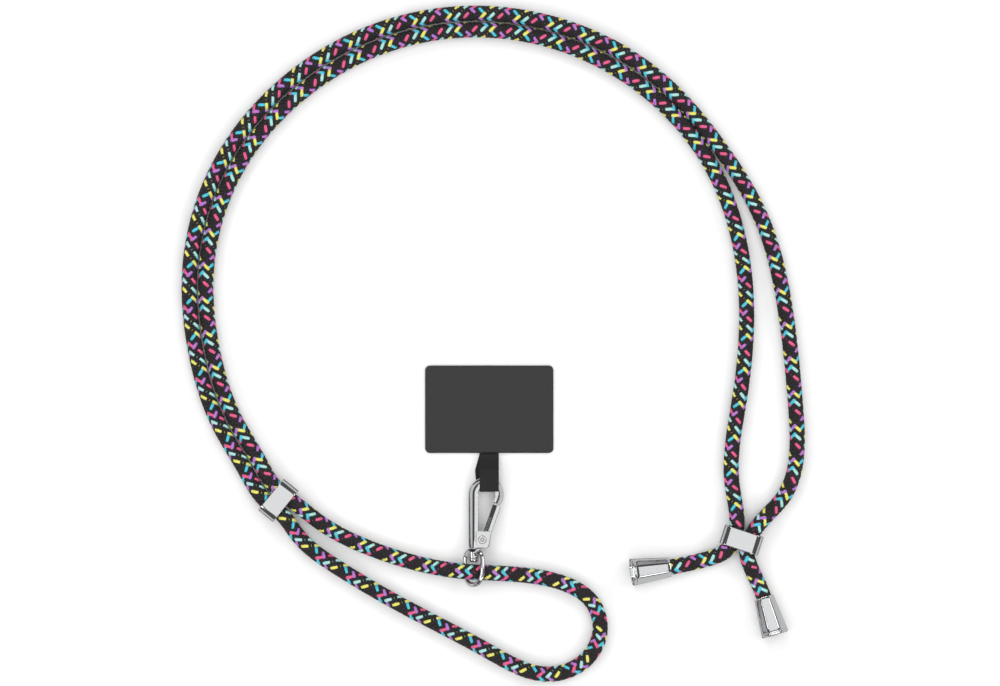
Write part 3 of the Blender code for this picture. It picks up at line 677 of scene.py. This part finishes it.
def make_slider(name, place):
    """A flat sleeve: its wall's rounded edge carried round a rounded rectangle."""
    (x, y), degrees = place
    rings = []
    # corners of the wall's section: which end, outside or inside, and where the corner's arc starts
    for end, inside, start in ((1, 0, 0), (-1, 0, 90), (-1, 1, 180), (1, 1, 270)):
        for c, s in map(heading, np.linspace(start, start + 90, 6)):
            sunk = SLIDER_EDGE * (1 - 2 * inside - s)
            wide = SLIDER_SIZE[0] - 2 * (inside * SLIDER_SIDE_WALL + sunk)
            high = SLIDER_SIZE[1] - 2 * (inside * SLIDER_WALL + sunk)
            ring = rounded_outline(wide, high, SLIDER_CORNER - inside * SLIDER_SIDE_WALL - sunk, 12)
            along = end * (SLIDER_LENGTH / 2 - SLIDER_EDGE) + SLIDER_EDGE * c
            rings.append(np.column_stack([np.full(len(ring), along), ring]))
    mesh = surface(name + "_polished", np.array(rings), closed_rows=True, closed_columns=True, sharp=50)
    turned = Matrix.Rotation(math.radians(degrees), 4, "Z")
    mesh.transform(Matrix.Translation((x, y, SLIDER_SIZE[1] / 2)) @ turned)
    return add_object(name + "_polished", mesh, [CHROME], "strap", [name])


def facet_reach(turn, count, roundness):
    """How far a rounded polygon of this many flats, each one unit out, reaches at each angle."""
    off = (turn + math.pi / count) % (2 * math.pi / count) - math.pi / count
    sharp = 1 / np.cos(off)
    return sharp - roundness * (np.abs(off) * count / math.pi) ** 6


def make_cap(name, place):
    """A flared cap: a rounded eight-sided outline whose size follows a profile from the mouth along
    the outside, round the rim and down the inside to the cord's end."""
    (x, y), degrees = place
    mouth, rim, bore = CAP_MOUTH_D / 2, CAP_RIM_D / 2, CAP_BORE_D / 2
    slope = (rim - mouth) / CAP_LENGTH
    # each row of the profile: radius, place along the cap, and how flat its sides are
    profile = [(bore, CAP_BORE_START, 0.0), (bore, CAP_LIP, 0.0), (bore + 0.6 * CAP_LIP, 0.0, 0.0),
               (mouth - CAP_LIP, 0.0, 1.0), (mouth - 0.4 * CAP_LIP, 0.25 * CAP_LIP, 1.0),
               (mouth + 0.02 * CAP_LIP, CAP_LIP, 1.0)]
    outside = np.linspace(0.08 * CAP_LENGTH, CAP_GROOVE_AT - 0.0003, CAP_ROWS)
    profile += [(mouth + slope * t, t, 1.0) for t in outside]
    profile += [(mouth + slope * CAP_GROOVE_AT - depth, CAP_GROOVE_AT + t, 1.0) for t, depth in CAP_GROOVE]
    profile += [(rim + out, CAP_LENGTH + past, flat) for out, past, flat in CAP_RIM]
    widening = (rim - CAP_WALL - bore) / 0.7
    profile += [(bore + widening * (t - 0.3), CAP_LENGTH * t, 0.7 * t) for t in np.linspace(0.95, 0.35, 6)]
    turn = np.linspace(0, 2 * math.pi, 12 * CAP_FACETS, endpoint=False)
    facets = facet_reach(turn, CAP_FACETS, CAP_ROUNDNESS) - 1
    rings = []
    for radius, height, flat in profile:
        reach = radius * (1 + flat * facets)
        level = np.full(len(turn), height)
        rings.append(np.column_stack([reach * np.cos(turn), reach * np.sin(turn), level]))
    mesh = surface(name + "_polished", np.array(rings), closed_columns=True, flip=True, sharp=32)
    lean = Matrix.Rotation(math.pi / 2 - CAP_SLOPE, 4, "Y")
    mesh.transform(Matrix.Translation((x, y, mouth)) @ Matrix.Rotation(math.radians(degrees), 4, "Z") @ lean)
    return add_object(name + "_polished", mesh, [CHROME], "strap", [name])


def lathe(name, profile, start=0.0, sides=32):
    """A profile of radius and place after the start, turned about the Y axis."""
    turn = np.linspace(0, 2 * math.pi, sides, endpoint=False)
    rings = [[(r * math.cos(t), start + y, r * math.sin(t)) for t in turn] for r, y in profile]
    return surface(name, np.array(rings), closed_columns=True, ends=True)


# The hook, in its own plane with the swivel's middle at the origin and its arm along Y
EYE_HALF_LENGTH = 0.00695
EYE_FORWARD = 0.00155
EYE_BACK = EYE_FORWARD + EYE_HALF_LENGTH + EYE_WIRE_R
# the power of the eye's oval round the cord, and a higher one for squarer shoulders at the hook
EYE_POWER = (2.3, 3.6)
# the eye's bridge: the share of its half length where it starts, how much wider it is, and higher
EYE_BRIDGE = (0.70, 0.00075, 0.00045)
EYE_ROWS = 160
EYE_SIDES = 20
# turned profiles: radius, and place from the eye's back
EYE_BOSS = ((0.0013, -0.0038), (0.0015, -0.0040), (0.0019, -0.0040), (0.0022, -0.0039), (0.0023, -0.0036),
            (0.0023, -0.0014), (0.0020, -0.0010), (0.0017, -0.0008), (0.0015, -0.0006))
# a washer under the hook's base, near black as painted shade of the gap there
EYE_SHADE_WASHER = ((0.0015, -0.0006), (0.0021, -0.0006), (0.0023, -0.0005), (0.0024, -0.0003), (0.0023, -0.0001),
              (0.0021, 0.0), (0.0015, 0.0))
STEM = ((0.0009, -0.0056), (0.0014, -0.0055), (0.0018, -0.0051), (0.0020, -0.0046), (0.0020, -0.0043),
        (0.0019, -0.0042), (0.0012, -0.0042), (0.0012, GAP + 0.0002))
BASE_HEIGHT = 0.0071
BASE_START = EYE_BACK + GAP
BASE_TOP = BASE_START + BASE_HEIGHT
BASE_HALF = 0.0022
BASE_EDGE = 0.00028
# how far the cheeks and the web reach under the bar and into each other, so that no seam shows
UNDER_BAR = 0.0010
INTO_CHEEK = 0.0002
# the corners' radii, anticlockwise from the low one at the bar
CHEEK_RADII = (0.00045, 0.0016, 0.0008, 0.00045, 0.00045)
WEB_RADII = (0.0003, 0.0015, 0.0002, 0.0004, 0.0003, 0.0003)
WEB_INSET = 0.0001
SHOULDER_AT = 0.0034
BAR_WIDTH = 0.0042
BAR_THICK = 0.0038
ARM_X = -0.0002
ARCH_RADIUS = 0.0054
ARCH_REACH = 0.0321
ARCH_OUTSIDE = ARCH_REACH + ARCH_RADIUS + BAR_WIDTH / 2
NOSE_TURN = 22
NOSE_LENGTH = 0.0020
NOSE_NARROWER = 0.0006
# rows of the bar along its arm, its arch and its nose, and how much smaller its end rings are
BAR_ROWS = (14, 49, 5)
BAR_END = 0.9
PIVOT = np.array([0.0035, 0.0132])
SLOT_HALF = 0.0013
GATE_LEAN = math.radians(70.5)
GATE_LENGTH = 0.0159
GATE_INNER = 0.00076
GATE_OUTER = 0.00266
GATE_HALF = 0.0010
GATE_FLOOR = -0.0004
GATE_EDGE = 0.00022
GATE_FLOOR_EDGE = 0.0001
# the gate's tip, an arc about its pivot, from its inner to its outer end in degrees
GATE_TIP = (-2.7, 9.6)
# how far the near-black sheet of painted shade in the channel stays inside the gate's floor, at its side and
# at its tip
SHADE_SHEET_INSET = (0.00005, 0.0004)
# where the gate's channel starts along it, and its outer side
GATE_CHANNEL = (0.0034, 0.00098)
GATE_END_R = 0.00125
SPRING_R = 0.00072
SPRING_WIRE_R = 0.0002
# where the spring starts and ends along the gate
SPRING_RUN = (0.0039, 0.0100)
SPRING_COILS = 7
SPRING_LIFT = 0.0001
# half of the rivet, from its middle out and down: radius and height
RIVET_HALF = (
    (0.00001, 0.00262), (0.00034, 0.00262), (0.00040, 0.00256), (0.00046, 0.00248), (0.00078, 0.00248),
    (0.00084, 0.00258), (0.00092, 0.00264), (0.00142, 0.00264), (0.00150, 0.00260), (0.00154, 0.00250),
    (0.00158, 0.00236), (0.00184, 0.00236), (0.00186, 0.00222), (0.00060, 0.00222),
)
# the bands of the rivet's profile in its groove and its ring, in greyer steel as painted shade
RIVET_PAINTED_SHADE = (3, 4, 10)
RIVET_SIDES = 48
# the bar's section: across it from its outer side to its inner side, how high, and the corner's radius
BAR_SECTION = (
    (-0.00205, -0.00070, 0.00025), (-0.00135, -0.00190, 0.00040), (0.00195, -0.00190, 0.00035),
    (0.00210, -0.00165, 0.00020), (0.00210, 0.00155, 0.00020), (0.00190, 0.00190, 0.00025),
    (0.00045, 0.00190, 0.00060), (-0.00040, 0.00120, 0.00060), (-0.00205, -0.00095, 0.00012),
)
# The hook slopes from the eye down to its arch, which rests on the tab's webbing
TAB_THICK = 0.0010
ARCH_HEIGHT = TAB_THICK + GAP + BAR_THICK / 2
HOOK_DROP = math.asin((EYE_HEIGHT - ARCH_HEIGHT) / ARCH_OUTSIDE)
HOOK_PLACE = Matrix.Translation((*EYE_AT, EYE_HEIGHT)) @ Matrix.Rotation(-HOOK_DROP, 4, "X")


def even_loop(points, count):
    """A closed line of points, read again at even steps of its length."""
    closed = np.vstack([points, points[:1]])
    arc = np.concatenate([[0.0], np.cumsum(np.linalg.norm(np.diff(closed, axis=0), axis=1))])
    at = np.linspace(0, arc[-1], count, endpoint=False)
    return np.stack([np.interp(at, arc, column) for column in closed.T], axis=1)


def softened_loop(points, span):
    """A closed line of points, each averaged with its neighbours, so that its corners turn round."""
    return sum(np.roll(points, k - span // 2, axis=0) for k in range(span)) / span


def make_eye():
    """The swivel eye: a round wire carried along a rounded oval, the sum of whose shares to a power is
    one, with a higher power for squarer shoulders towards the hook. There the wire swells inwards into a
    bridge, which holds a boss with rounded rims and a washer, near black as painted shade of the gap
    under the hook's base."""
    turns = np.linspace(0, 2 * math.pi, 10 * EYE_ROWS, endpoint=False)
    c, s = np.cos(turns), np.sin(turns)
    power = 2 / np.where(s > 0, EYE_POWER[1], EYE_POWER[0])
    oval = np.stack([EYE_HALF_WIDTH * np.sign(c) * np.abs(c) ** power,
                     EYE_FORWARD + EYE_HALF_LENGTH * np.sign(s) * np.abs(s) ** power], axis=1)
    oval = even_loop(oval, EYE_ROWS)
    along = np.roll(oval, -1, axis=0) - np.roll(oval, 1, axis=0)
    along /= np.linalg.norm(along, axis=1)[:, None]
    out = np.stack([along[:, 1], -along[:, 0]], axis=1)
    start, wider, higher = EYE_BRIDGE
    swell = np.clip(((oval[:, 1] - EYE_FORWARD) / EYE_HALF_LENGTH - start) / (1 - start), 0, 1)
    swell = 3 * swell**2 - 2 * swell**3
    wide, high = EYE_WIRE_R + wider * swell, EYE_WIRE_R + higher * swell
    around = np.linspace(0, 2 * math.pi, EYE_SIDES, endpoint=False)
    flat = oval[:, None, :] - out[:, None, :] * (wide - EYE_WIRE_R)[:, None, None]
    flat = flat + out[:, None, :] * (wide[:, None] * np.cos(around))[:, :, None]
    rings = np.concatenate([flat, (high[:, None] * np.sin(around))[:, :, None]], axis=2)
    wire = surface("eye_wire", rings, closed_rows=True, closed_columns=True)
    wire.transform(Matrix.Rotation(-EYE_TURN, 4, "Y"))
    boss = lathe("eye_boss", EYE_BOSS, EYE_BACK)
    washer = lathe("eye_shade_washer", EYE_SHADE_WASHER, EYE_BACK)
    mesh = join_meshes("swivel_eye_polished", [wire, boss, washer], [0, 0, 1])
    mesh.transform(HOOK_PLACE)
    return add_object("swivel_eye_polished", mesh, [CHROME, PAINTED_SHADE_STEEL], "strap", ["swivel_eye"])


def gate_frame(along, across):
    """Points of the gate, given along it from its pivot and across it towards the hook's outside."""
    u = np.array([math.cos(GATE_LEAN), math.sin(GATE_LEAN)])
    n = np.array([u[1], -u[0]])
    return PIVOT + np.multiply.outer(along, u) + np.multiply.outer(across, n)


def make_bar():
    """The hook's bar: its section carried straight up the arm, round the arch and down the nose. It
    narrows evenly round the arch, and its two end rings are a little smaller."""
    centre = np.array([ARM_X + ARCH_RADIUS, ARCH_REACH])
    arm_rows, arch_rows, nose_rows = BAR_ROWS
    arc = [centre + ARCH_RADIUS * heading(a) for a in np.linspace(180, -NOSE_TURN, arch_rows)]
    arm = [np.array([ARM_X, y]) for y in np.linspace(BASE_START + 0.0001, ARCH_REACH - 0.0005, arm_rows)]
    down = heading(-90 - NOSE_TURN)
    nose = [arc[-1] + t * down for t in np.linspace(0.0004, NOSE_LENGTH, nose_rows)]
    line = np.array([*arm, *arc, *nose])
    along = np.gradient(line, axis=0)
    along /= np.linalg.norm(along, axis=1)[:, None]
    inner = np.stack([along[:, 1], -along[:, 0]], axis=1)
    section = rounded_polygon([row[:2] for row in BAR_SECTION], [row[2] for row in BAR_SECTION], 4)
    share = np.clip((np.arange(len(line)) - arm_rows) / (arch_rows - 1), 0, 1)
    ends = np.ones(len(line))
    ends[[0, -1]] = BAR_END
    across = section[None, :, 0] * (ends * (1 - share * NOSE_NARROWER / BAR_WIDTH))[:, None]
    rings = np.zeros((len(line), len(section), 3))
    rings[:, :, :2] = line[:, None, :] + inner[:, None, :] * across[:, :, None]
    rings[:, :, 2] = section[None, :, 1] * ends[:, None]
    return surface("hook_bar", rings, closed_columns=True, ends=True)


def make_hook_frame():
    """The hook's frame: its bar, two cheeks with a web between them that leaves the gate's slot open,
    and the stem that turns in the eye."""
    left, right = ARM_X + UNDER_BAR, gate_frame(GATE_END_R, GATE_OUTER)[0]
    low_right = (right - 0.0002, BASE_START)
    shoulder = gate_frame(SHOULDER_AT, GATE_OUTER)
    cheek = ((left, BASE_START), low_right, shoulder, (shoulder[0] - 0.0003, BASE_TOP), (left, BASE_TOP))
    cheek = rounded_polygon(cheek, CHEEK_RADII, 6)
    slot_left, slot_low = PIVOT - GATE_END_R - GAP
    web = ((left, BASE_START), low_right, (right + 0.0004, slot_low), (slot_left, slot_low),
           (slot_left, BASE_TOP), (left, BASE_TOP))
    web = inset(rounded_polygon(web, WEB_RADII, 6), WEB_INSET)
    cheeks = [slab("hook_cheek", cheek, low, high, BASE_EDGE)
              for low, high in ((SLOT_HALF, BASE_HALF), (-BASE_HALF, -SLOT_HALF))]
    web = slab("hook_web", web, -SLOT_HALF - INTO_CHEEK, SLOT_HALF + INTO_CHEEK, WEB_INSET)
    stem = lathe("hook_stem", STEM, EYE_BACK)
    mesh = join_meshes("hook_frame_polished", [make_bar(), *cheeks, web, stem])
    mesh.transform(HOOK_PLACE)
    return add_object("hook_frame_polished", mesh, [CHROME], "hook", ["hook_frame"])


def make_gate():
    """The gate: its rounded end and outer wall stand on a thin floor, with the channel beside the wall, whose
    floor carries a near-black sheet as painted shade. The tip is an arc about the pivot."""
    start, side = GATE_CHANNEL
    end = [GATE_END_R * heading(a) for a in np.linspace(70, 250, 19)]
    tip = [GATE_LENGTH * heading(a) for a in np.linspace(*GATE_TIP, 13)]
    low_side = [(0.0010, -GATE_INNER), (start, -GATE_INNER)]
    inner_tip = [(along, across) for along, across in tip if across < side]
    outer_tip = [(along, across) for along, across in tip if across > side]
    top_side = [(GATE_END_R, GATE_OUTER)]
    whole = [*end, *low_side, *inner_tip, *outer_tip, *top_side]
    solid = [*end, *low_side, (start, side), (GATE_LENGTH, side), *outer_tip, *top_side]
    low, far = SHADE_SHEET_INSET[0] - GATE_INNER, GATE_LENGTH - SHADE_SHEET_INSET[1]
    channel = [(start, low), (far, low), (far, side), (start, side)]
    whole, solid, channel = [gate_frame(*np.array(points).T)[::-1] for points in (whole, solid, channel)]
    whole, solid = [even_loop(softened_loop(even_loop(outline, 400), 9), 160) for outline in (whole, solid)]
    meshes = [slab("gate_floor", whole, -GATE_HALF, GATE_FLOOR, GATE_FLOOR_EDGE),
              slab("gate_wall", solid, GATE_FLOOR - 0.00005, GATE_HALF, GATE_EDGE),
              # a thin near-black sheet on the channel's floor: painted shade
              slab("gate_channel", channel, GATE_FLOOR - 0.00002, GATE_FLOOR + 0.00004, 0.00001)]
    mesh = join_meshes("hook_gate_polished", meshes, [0, 0, 1])
    mesh.transform(HOOK_PLACE)
    return add_object("hook_gate_polished", mesh, [CHROME, PAINTED_SHADE_STEEL], "gate", ["hook_gate"])


def make_rivet():
    """The rivet: a pin between two low heads. Each has a groove round its rim and a ring round the dot in its
    middle, both in duller, greyer steel as painted shade."""
    rows = [*RIVET_HALF, *[(r, -z) for r, z in RIVET_HALF[::-1]]]
    head = lathe("hook_rivet_head", rows[::-1], sides=RIVET_SIDES)
    slots = np.zeros(len(head.polygons), dtype=int)
    for row in RIVET_PAINTED_SHADE:
        for band in (row, len(rows) - 2 - row):
            slots[band * RIVET_SIDES:(band + 1) * RIVET_SIDES] = 1
    mesh = join_meshes("hook_rivet_polished", [head], [slots])
    mesh.transform(HOOK_PLACE @ Matrix.Translation((*PIVOT, 0.0)) @ Matrix.Rotation(math.pi / 2, 4, "X"))
    return add_object("hook_rivet_polished", mesh, [CHROME, SPRING_STEEL_AND_RIVET_SHADE], "hook", ["hook_rivet"])


def make_spring():
    """The gate's coil spring: a round wire along a helix that lies in the gate's channel."""
    t = np.linspace(0, 1, SPRING_COILS * 20)
    u = np.array([math.cos(GATE_LEAN), math.sin(GATE_LEAN), 0.0])
    n, z = np.array([u[1], -u[0], 0.0]), np.array([0.0, 0.0, 1.0])
    start, end = SPRING_RUN
    lay = gate_frame(start + (end - start) * t, np.full(len(t), SPRING_LIFT))
    height = GATE_FLOOR + SPRING_R + SPRING_WIRE_R + SPRING_LIFT
    phase = (2 * math.pi * SPRING_COILS * t)[:, None]
    centre = np.column_stack([lay, np.full(len(t), height)])
    centre += SPRING_R * (n * np.cos(phase) + z * np.sin(phase))
    along = np.gradient(centre, axis=0)
    along /= np.linalg.norm(along, axis=1)[:, None]
    first = np.cross(along, u)
    first /= np.linalg.norm(first, axis=1)[:, None]
    second = np.cross(along, first)
    around = np.linspace(0, 2 * math.pi, 8, endpoint=False)[None, :, None]
    out = first[:, None, :] * np.cos(around) + second[:, None, :] * np.sin(around)
    tube = centre[:, None, :] + SPRING_WIRE_R * out
    mesh = surface("gate_spring", tube, closed_columns=True, ends=True, flip=True)
    mesh.transform(HOOK_PLACE)
    return add_object("gate_spring", mesh, [SPRING_STEEL_AND_RIVET_SHADE], "gate")


# The tether

PATCH_SIZE = (0.0535, 0.0365)
PATCH_THICK = 0.0012
PATCH_CORNER = 0.0020
TAB_WIDTH = 0.0080
TAB_TAIL = 0.0080
TAB_STEP = 0.00015
TAB_TOP = ARCH_HEIGHT + BAR_THICK / 2 + BAR_WIDTH * math.sin(HOOK_DROP) + GAP + TAB_THICK
TAB_EDGE = -PATCH_SIZE[1] / 2 - GAP
TAB_ARCH_X = EYE_AT[0] + ARM_X + ARCH_RADIUS
# Place out from the patch, from -1 at the tail's end, 0 at the patch's edge and 1 at the arch's outer
# side to 2 in its throat, the height as a share of the tab's top, the width and thickness as shares of
# its own, and the shift aside as a share of the way to the arch's middle
TAB_SECTIONS = (
    (-1.00, 0.00, 1.00, 0.50, 0.0),
    (-0.02, 0.00, 1.00, 0.50, 0.0),
    (0.14, 0.00, 1.00, 1.00, 0.3),
    (0.72, 0.00, 1.00, 1.00, 1.6),
    (1.46, 0.00, 0.95, 1.00, 1.4),
    (1.77, 0.00, 0.75, 1.00, 1.1),
    (1.94, 0.06, 0.58, 1.00, 1.0),
    (2.00, 0.20, 0.56, 1.00, 1.0),
    (2.00, 0.50, 0.56, 1.00, 1.0),
    (2.00, 0.78, 0.56, 1.00, 1.0),
    (2.00, 0.85, 0.64, 1.00, 0.8),
    (1.99, 0.92, 1.00, 1.00, 0.0),
    (1.94, 0.97, 1.00, 1.00, 0.0),
    (1.78, 1.00, 1.00, 1.00, 0.0),
    (1.04, 0.99, 1.00, 1.00, 0.0),
    (0.68, 0.86, 1.00, 1.00, 0.0),
    (0.34, 0.52, 1.00, 1.00, 0.0),
    (0.14, 0.37, 1.00, 1.00, 0.0),
    (0.00, 0.335, 1.00, 1.00, 0.0),
)
IN_THROAT = TAB_SECTIONS[8]
THROAT_DEPTH = math.sqrt((ARCH_RADIUS - BAR_WIDTH / 2) ** 2 - (IN_THROAT[2] * TAB_WIDTH / 2) ** 2)
THROAT = EYE_AT[1] + (ARCH_REACH + THROAT_DEPTH) * math.cos(HOOK_DROP) - GAP - TAB_THICK
TAB_PLACES = (TAB_EDGE + TAB_TAIL, TAB_EDGE, EYE_AT[1] + ARCH_OUTSIDE * math.cos(HOOK_DROP), THROAT)
# the patch's section: how far in from its edge, and how high
PATCH_SECTION = (
    (0.0060, 0.00003), (0.0009, 0.00003), (0.00035, 0.00005), (0.0001, 0.0002), (0.0, 0.0005),
    (0.00008, 0.0009), (0.00035, 0.00112), (0.0008, PATCH_THICK), (0.0013, PATCH_THICK - 0.00002),
    (0.0016, PATCH_THICK - 0.00014), (0.0019, PATCH_THICK - 0.00002), (0.0024, PATCH_THICK),
    (0.0060, PATCH_THICK),
)


def softened(values, span):
    """Each row averaged with its neighbours, the nearer ones counting more, and the ends kept."""
    weights = np.hanning(span + 2)[1:-1]
    weights /= weights.sum()
    before, after = np.repeat(values[:1], span // 2, axis=0), np.repeat(values[-1:], span // 2, axis=0)
    padded = np.vstack([before, values, after])
    return np.stack([np.convolve(column, weights, mode="valid") for column in padded.T], axis=1)[:len(values)]


def make_tab():
    """The webbing tab: a flat ribbon with rounded edges carried along its folded path."""
    rows = np.array(TAB_SECTIONS)
    rows[:, 0] = np.interp(rows[:, 0], (-1, 0, 1, 2), TAB_PLACES)
    rows[:, 1] *= TAB_TOP
    knots = chord_knots(rows)
    at = np.arange(0, knots[-1], TAB_STEP)
    rows = softened(np.stack([np.interp(at, knots, column) for column in rows.T], axis=1), 9)
    line = rows[:, :2]
    along = np.gradient(line, axis=0)
    along /= np.linalg.norm(along, axis=1)[:, None]
    inward = np.stack([along[:, 1], -along[:, 0]], axis=1)
    half, thick, aside = rows[:, 2] * TAB_WIDTH / 2, rows[:, 3] * TAB_THICK / 2, rows[:, 4] * TAB_ARCH_X
    ring = rounded_outline(2.0, 2.0, 0.55, 4)
    across = np.sign(ring[:, 0]) * (1 - (1 - np.abs(ring[:, 0])) * 0.12)
    points = np.zeros((len(line), len(ring), 3))
    points[:, :, 0] = aside[:, None] + half[:, None] * across[None, :]
    depth = thick[:, None] * (1 - ring[None, :, 1])
    points[:, :, 1:] = line[:, None, :] + inward[:, None, :] * depth[:, :, None]
    length = np.concatenate([[0.0], np.cumsum(np.linalg.norm(np.diff(line, axis=0), axis=1))])
    u = np.broadcast_to(across[None, :] * TAB_WIDTH / 2, points.shape[:2])
    v = np.broadcast_to(length[:, None], points.shape[:2])
    mesh = surface("tether_webbing", points, closed_columns=True, ends=True, uv=np.stack([u, v], axis=-1))
    return add_object("tether_webbing", mesh, [WEBBING], "hook", ["tether_tab"])


def make_patch():
    """The patch: a rounded rectangle with a soft edge and a faint pressed line inside it."""
    rings = []
    for inwards, height in PATCH_SECTION:
        wide, long = PATCH_SIZE[0] - 2 * inwards, PATCH_SIZE[1] - 2 * inwards
        ring = rounded_outline(wide, long, max(PATCH_CORNER - inwards, 0.0004), 8)
        rings.append(np.column_stack([ring, np.full(len(ring), height)]))
    mesh = surface("patch_cloth_cover", np.array(rings), closed_columns=True, ends=True, sharp=60)
    return add_object("patch_cloth_cover", mesh, [PATCH], "hook", ["patch_plate"])


# The stage

# how light the studio is from straight below, 0, over the horizon, 0.5, to straight above, 1
SURROUNDINGS = (
    (0.0, 0.10), (0.07, 0.12), (0.20, 0.50), (0.40, 0.66), (0.49, 0.55), (0.53, 0.12), (0.56, 0.06),
    (0.70, 0.09), (1.0, 0.09),
)
BACKDROP = (0.92, 0.92, 0.92, 1.0)
FLOOR_TINTS = ((0.90, 0.90, 0.90, 1.0), (0.93, 0.93, 0.93, 1.0))
FLOOR_HALF = 3
FLOOR_HEIGHT = -0.00012
# what the lights point at, and each light's name, turn and distance from there, height, size and power
LIT_PLACE = Vector((0.0, 0.03, 0.0))
LIGHTS = (
    ("light_fill", 0, 0.0, 1.75, (4.4, 4.4), 43.0),
    ("light_above", 0, 0.0, 1.7, (1.8, 1.8), 8.2),
    ("light_back", 20, 1.4, 1.05, (1.0, 0.4), 6.0),
    ("light_left", 110, 1.4, 1.05, (1.0, 0.4), 6.0),
    ("light_front", 200, 1.4, 1.05, (1.0, 0.4), 6.0),
    ("light_right", 290, 1.4, 1.05, (1.0, 0.4), 6.0),
)
CAMERA_AT = (0.00448, 0.02763, 2.5)
CAMERA_LENS = 215.8
CAMERA_SENSOR = 36.0


def make_floor():
    """A pale floor, which the fittings don't mirror."""
    ground = bpy.data.meshes.new("floor")
    corners = [(x * FLOOR_HALF, y * FLOOR_HALF, 0) for x, y in ((-1, -1), (1, -1), (1, 1), (-1, 1))]
    ground.from_pydata(corners, [], [(0, 1, 2, 3)])
    pale = bpy.data.materials.new("floor_pale")
    pale.use_nodes = True
    nodes = Nodes(pale.node_tree)
    shader = pale.node_tree.nodes["Principled BSDF"].inputs
    nodes.feed(shader, {"Base Color": nodes.mix(nodes.noise(nodes.place(), 9.0, 2.0), *FLOOR_TINTS)})
    shader["Roughness"].default_value = 0.8
    shader["Specular IOR Level"].default_value = 0.1
    floor = add_object("floor", ground, [pale], None)
    floor.location.z = FLOOR_HEIGHT
    floor.visible_glossy = False
    return floor


def make_light(name, turn, distance, height, size, power):
    """A soft light that points at the lit place. The fill isn't mirrored by the fittings."""
    lamp = bpy.data.lights.new(name, "AREA")
    lamp.shape = "RECTANGLE"
    lamp.size, lamp.size_y = size
    lamp.energy = power
    made = bpy.data.objects.new(name, lamp)
    made.visible_glossy = name != "light_fill"
    bpy.context.scene.collection.objects.link(made)
    made.location = LIT_PLACE + Vector((*heading(turn) * distance, height))
    made.rotation_euler = (LIT_PLACE - made.location).to_track_quat("-Z", "Y").to_euler()
    return made


def make_world():
    """A studio that is graded from the floor up for what the fittings mirror, and pale to the eye."""
    world = bpy.data.worlds.new("studio")
    bpy.context.scene.world = world
    world.use_nodes = True
    nodes = Nodes(world.node_tree)
    way = nodes.add("ShaderNodeTexCoord").outputs["Generated"]
    rise = nodes.math("MULTIPLY_ADD", nodes.add("ShaderNodeSeparateXYZ", {0: way}).outputs[2], 0.5, 0.5)
    ramp = nodes.add("ShaderNodeValToRGB", {0: rise})
    stops = ramp.color_ramp.elements
    for place, _ in SURROUNDINGS[1:-1]:
        stops.new(place)
    for stop, (_, grey) in zip(stops, SURROUNDINGS):
        stop.color = (grey, grey, grey, 1.0)
    seen = nodes.add("ShaderNodeLightPath").outputs["Is Camera Ray"]
    backdrop = world.node_tree.nodes["Background"].inputs
    nodes.feed(backdrop, {"Color": nodes.mix(seen, ramp.outputs[0], BACKDROP)})
    backdrop["Strength"].default_value = 1.0


def make_camera():
    """A camera straight over the strap, as in the photo."""
    lens = bpy.data.cameras.new("camera")
    lens.sensor_width = CAMERA_SENSOR
    lens.lens = CAMERA_LENS
    lens.clip_end = 20.0
    camera = bpy.data.objects.new("camera", lens)
    bpy.context.scene.collection.objects.link(camera)
    camera.location = CAMERA_AT
    bpy.context.scene.camera = camera
    bpy.context.scene.view_settings.view_transform = "Standard"


left_yarns, right_yarns, core, cord = make_cord()
sliders = [make_slider("slider_left", SLIDER_LEFT), make_slider("slider_right", SLIDER_RIGHT)]
caps = [make_cap("end_cap_a", CAP_A), make_cap("end_cap_b", CAP_B)]
eye = make_eye()
make_hook_frame()
make_gate()
make_rivet()
make_spring()
make_tab()
make_patch()
cord_length = float(cord.arc[-1])
path = cord.read(cord.points, np.linspace(BRAID_HIDDEN, cord_length - BRAID_HIDDEN, 200))
make_floor()
[make_light(*light) for light in LIGHTS]
make_world()
make_camera()
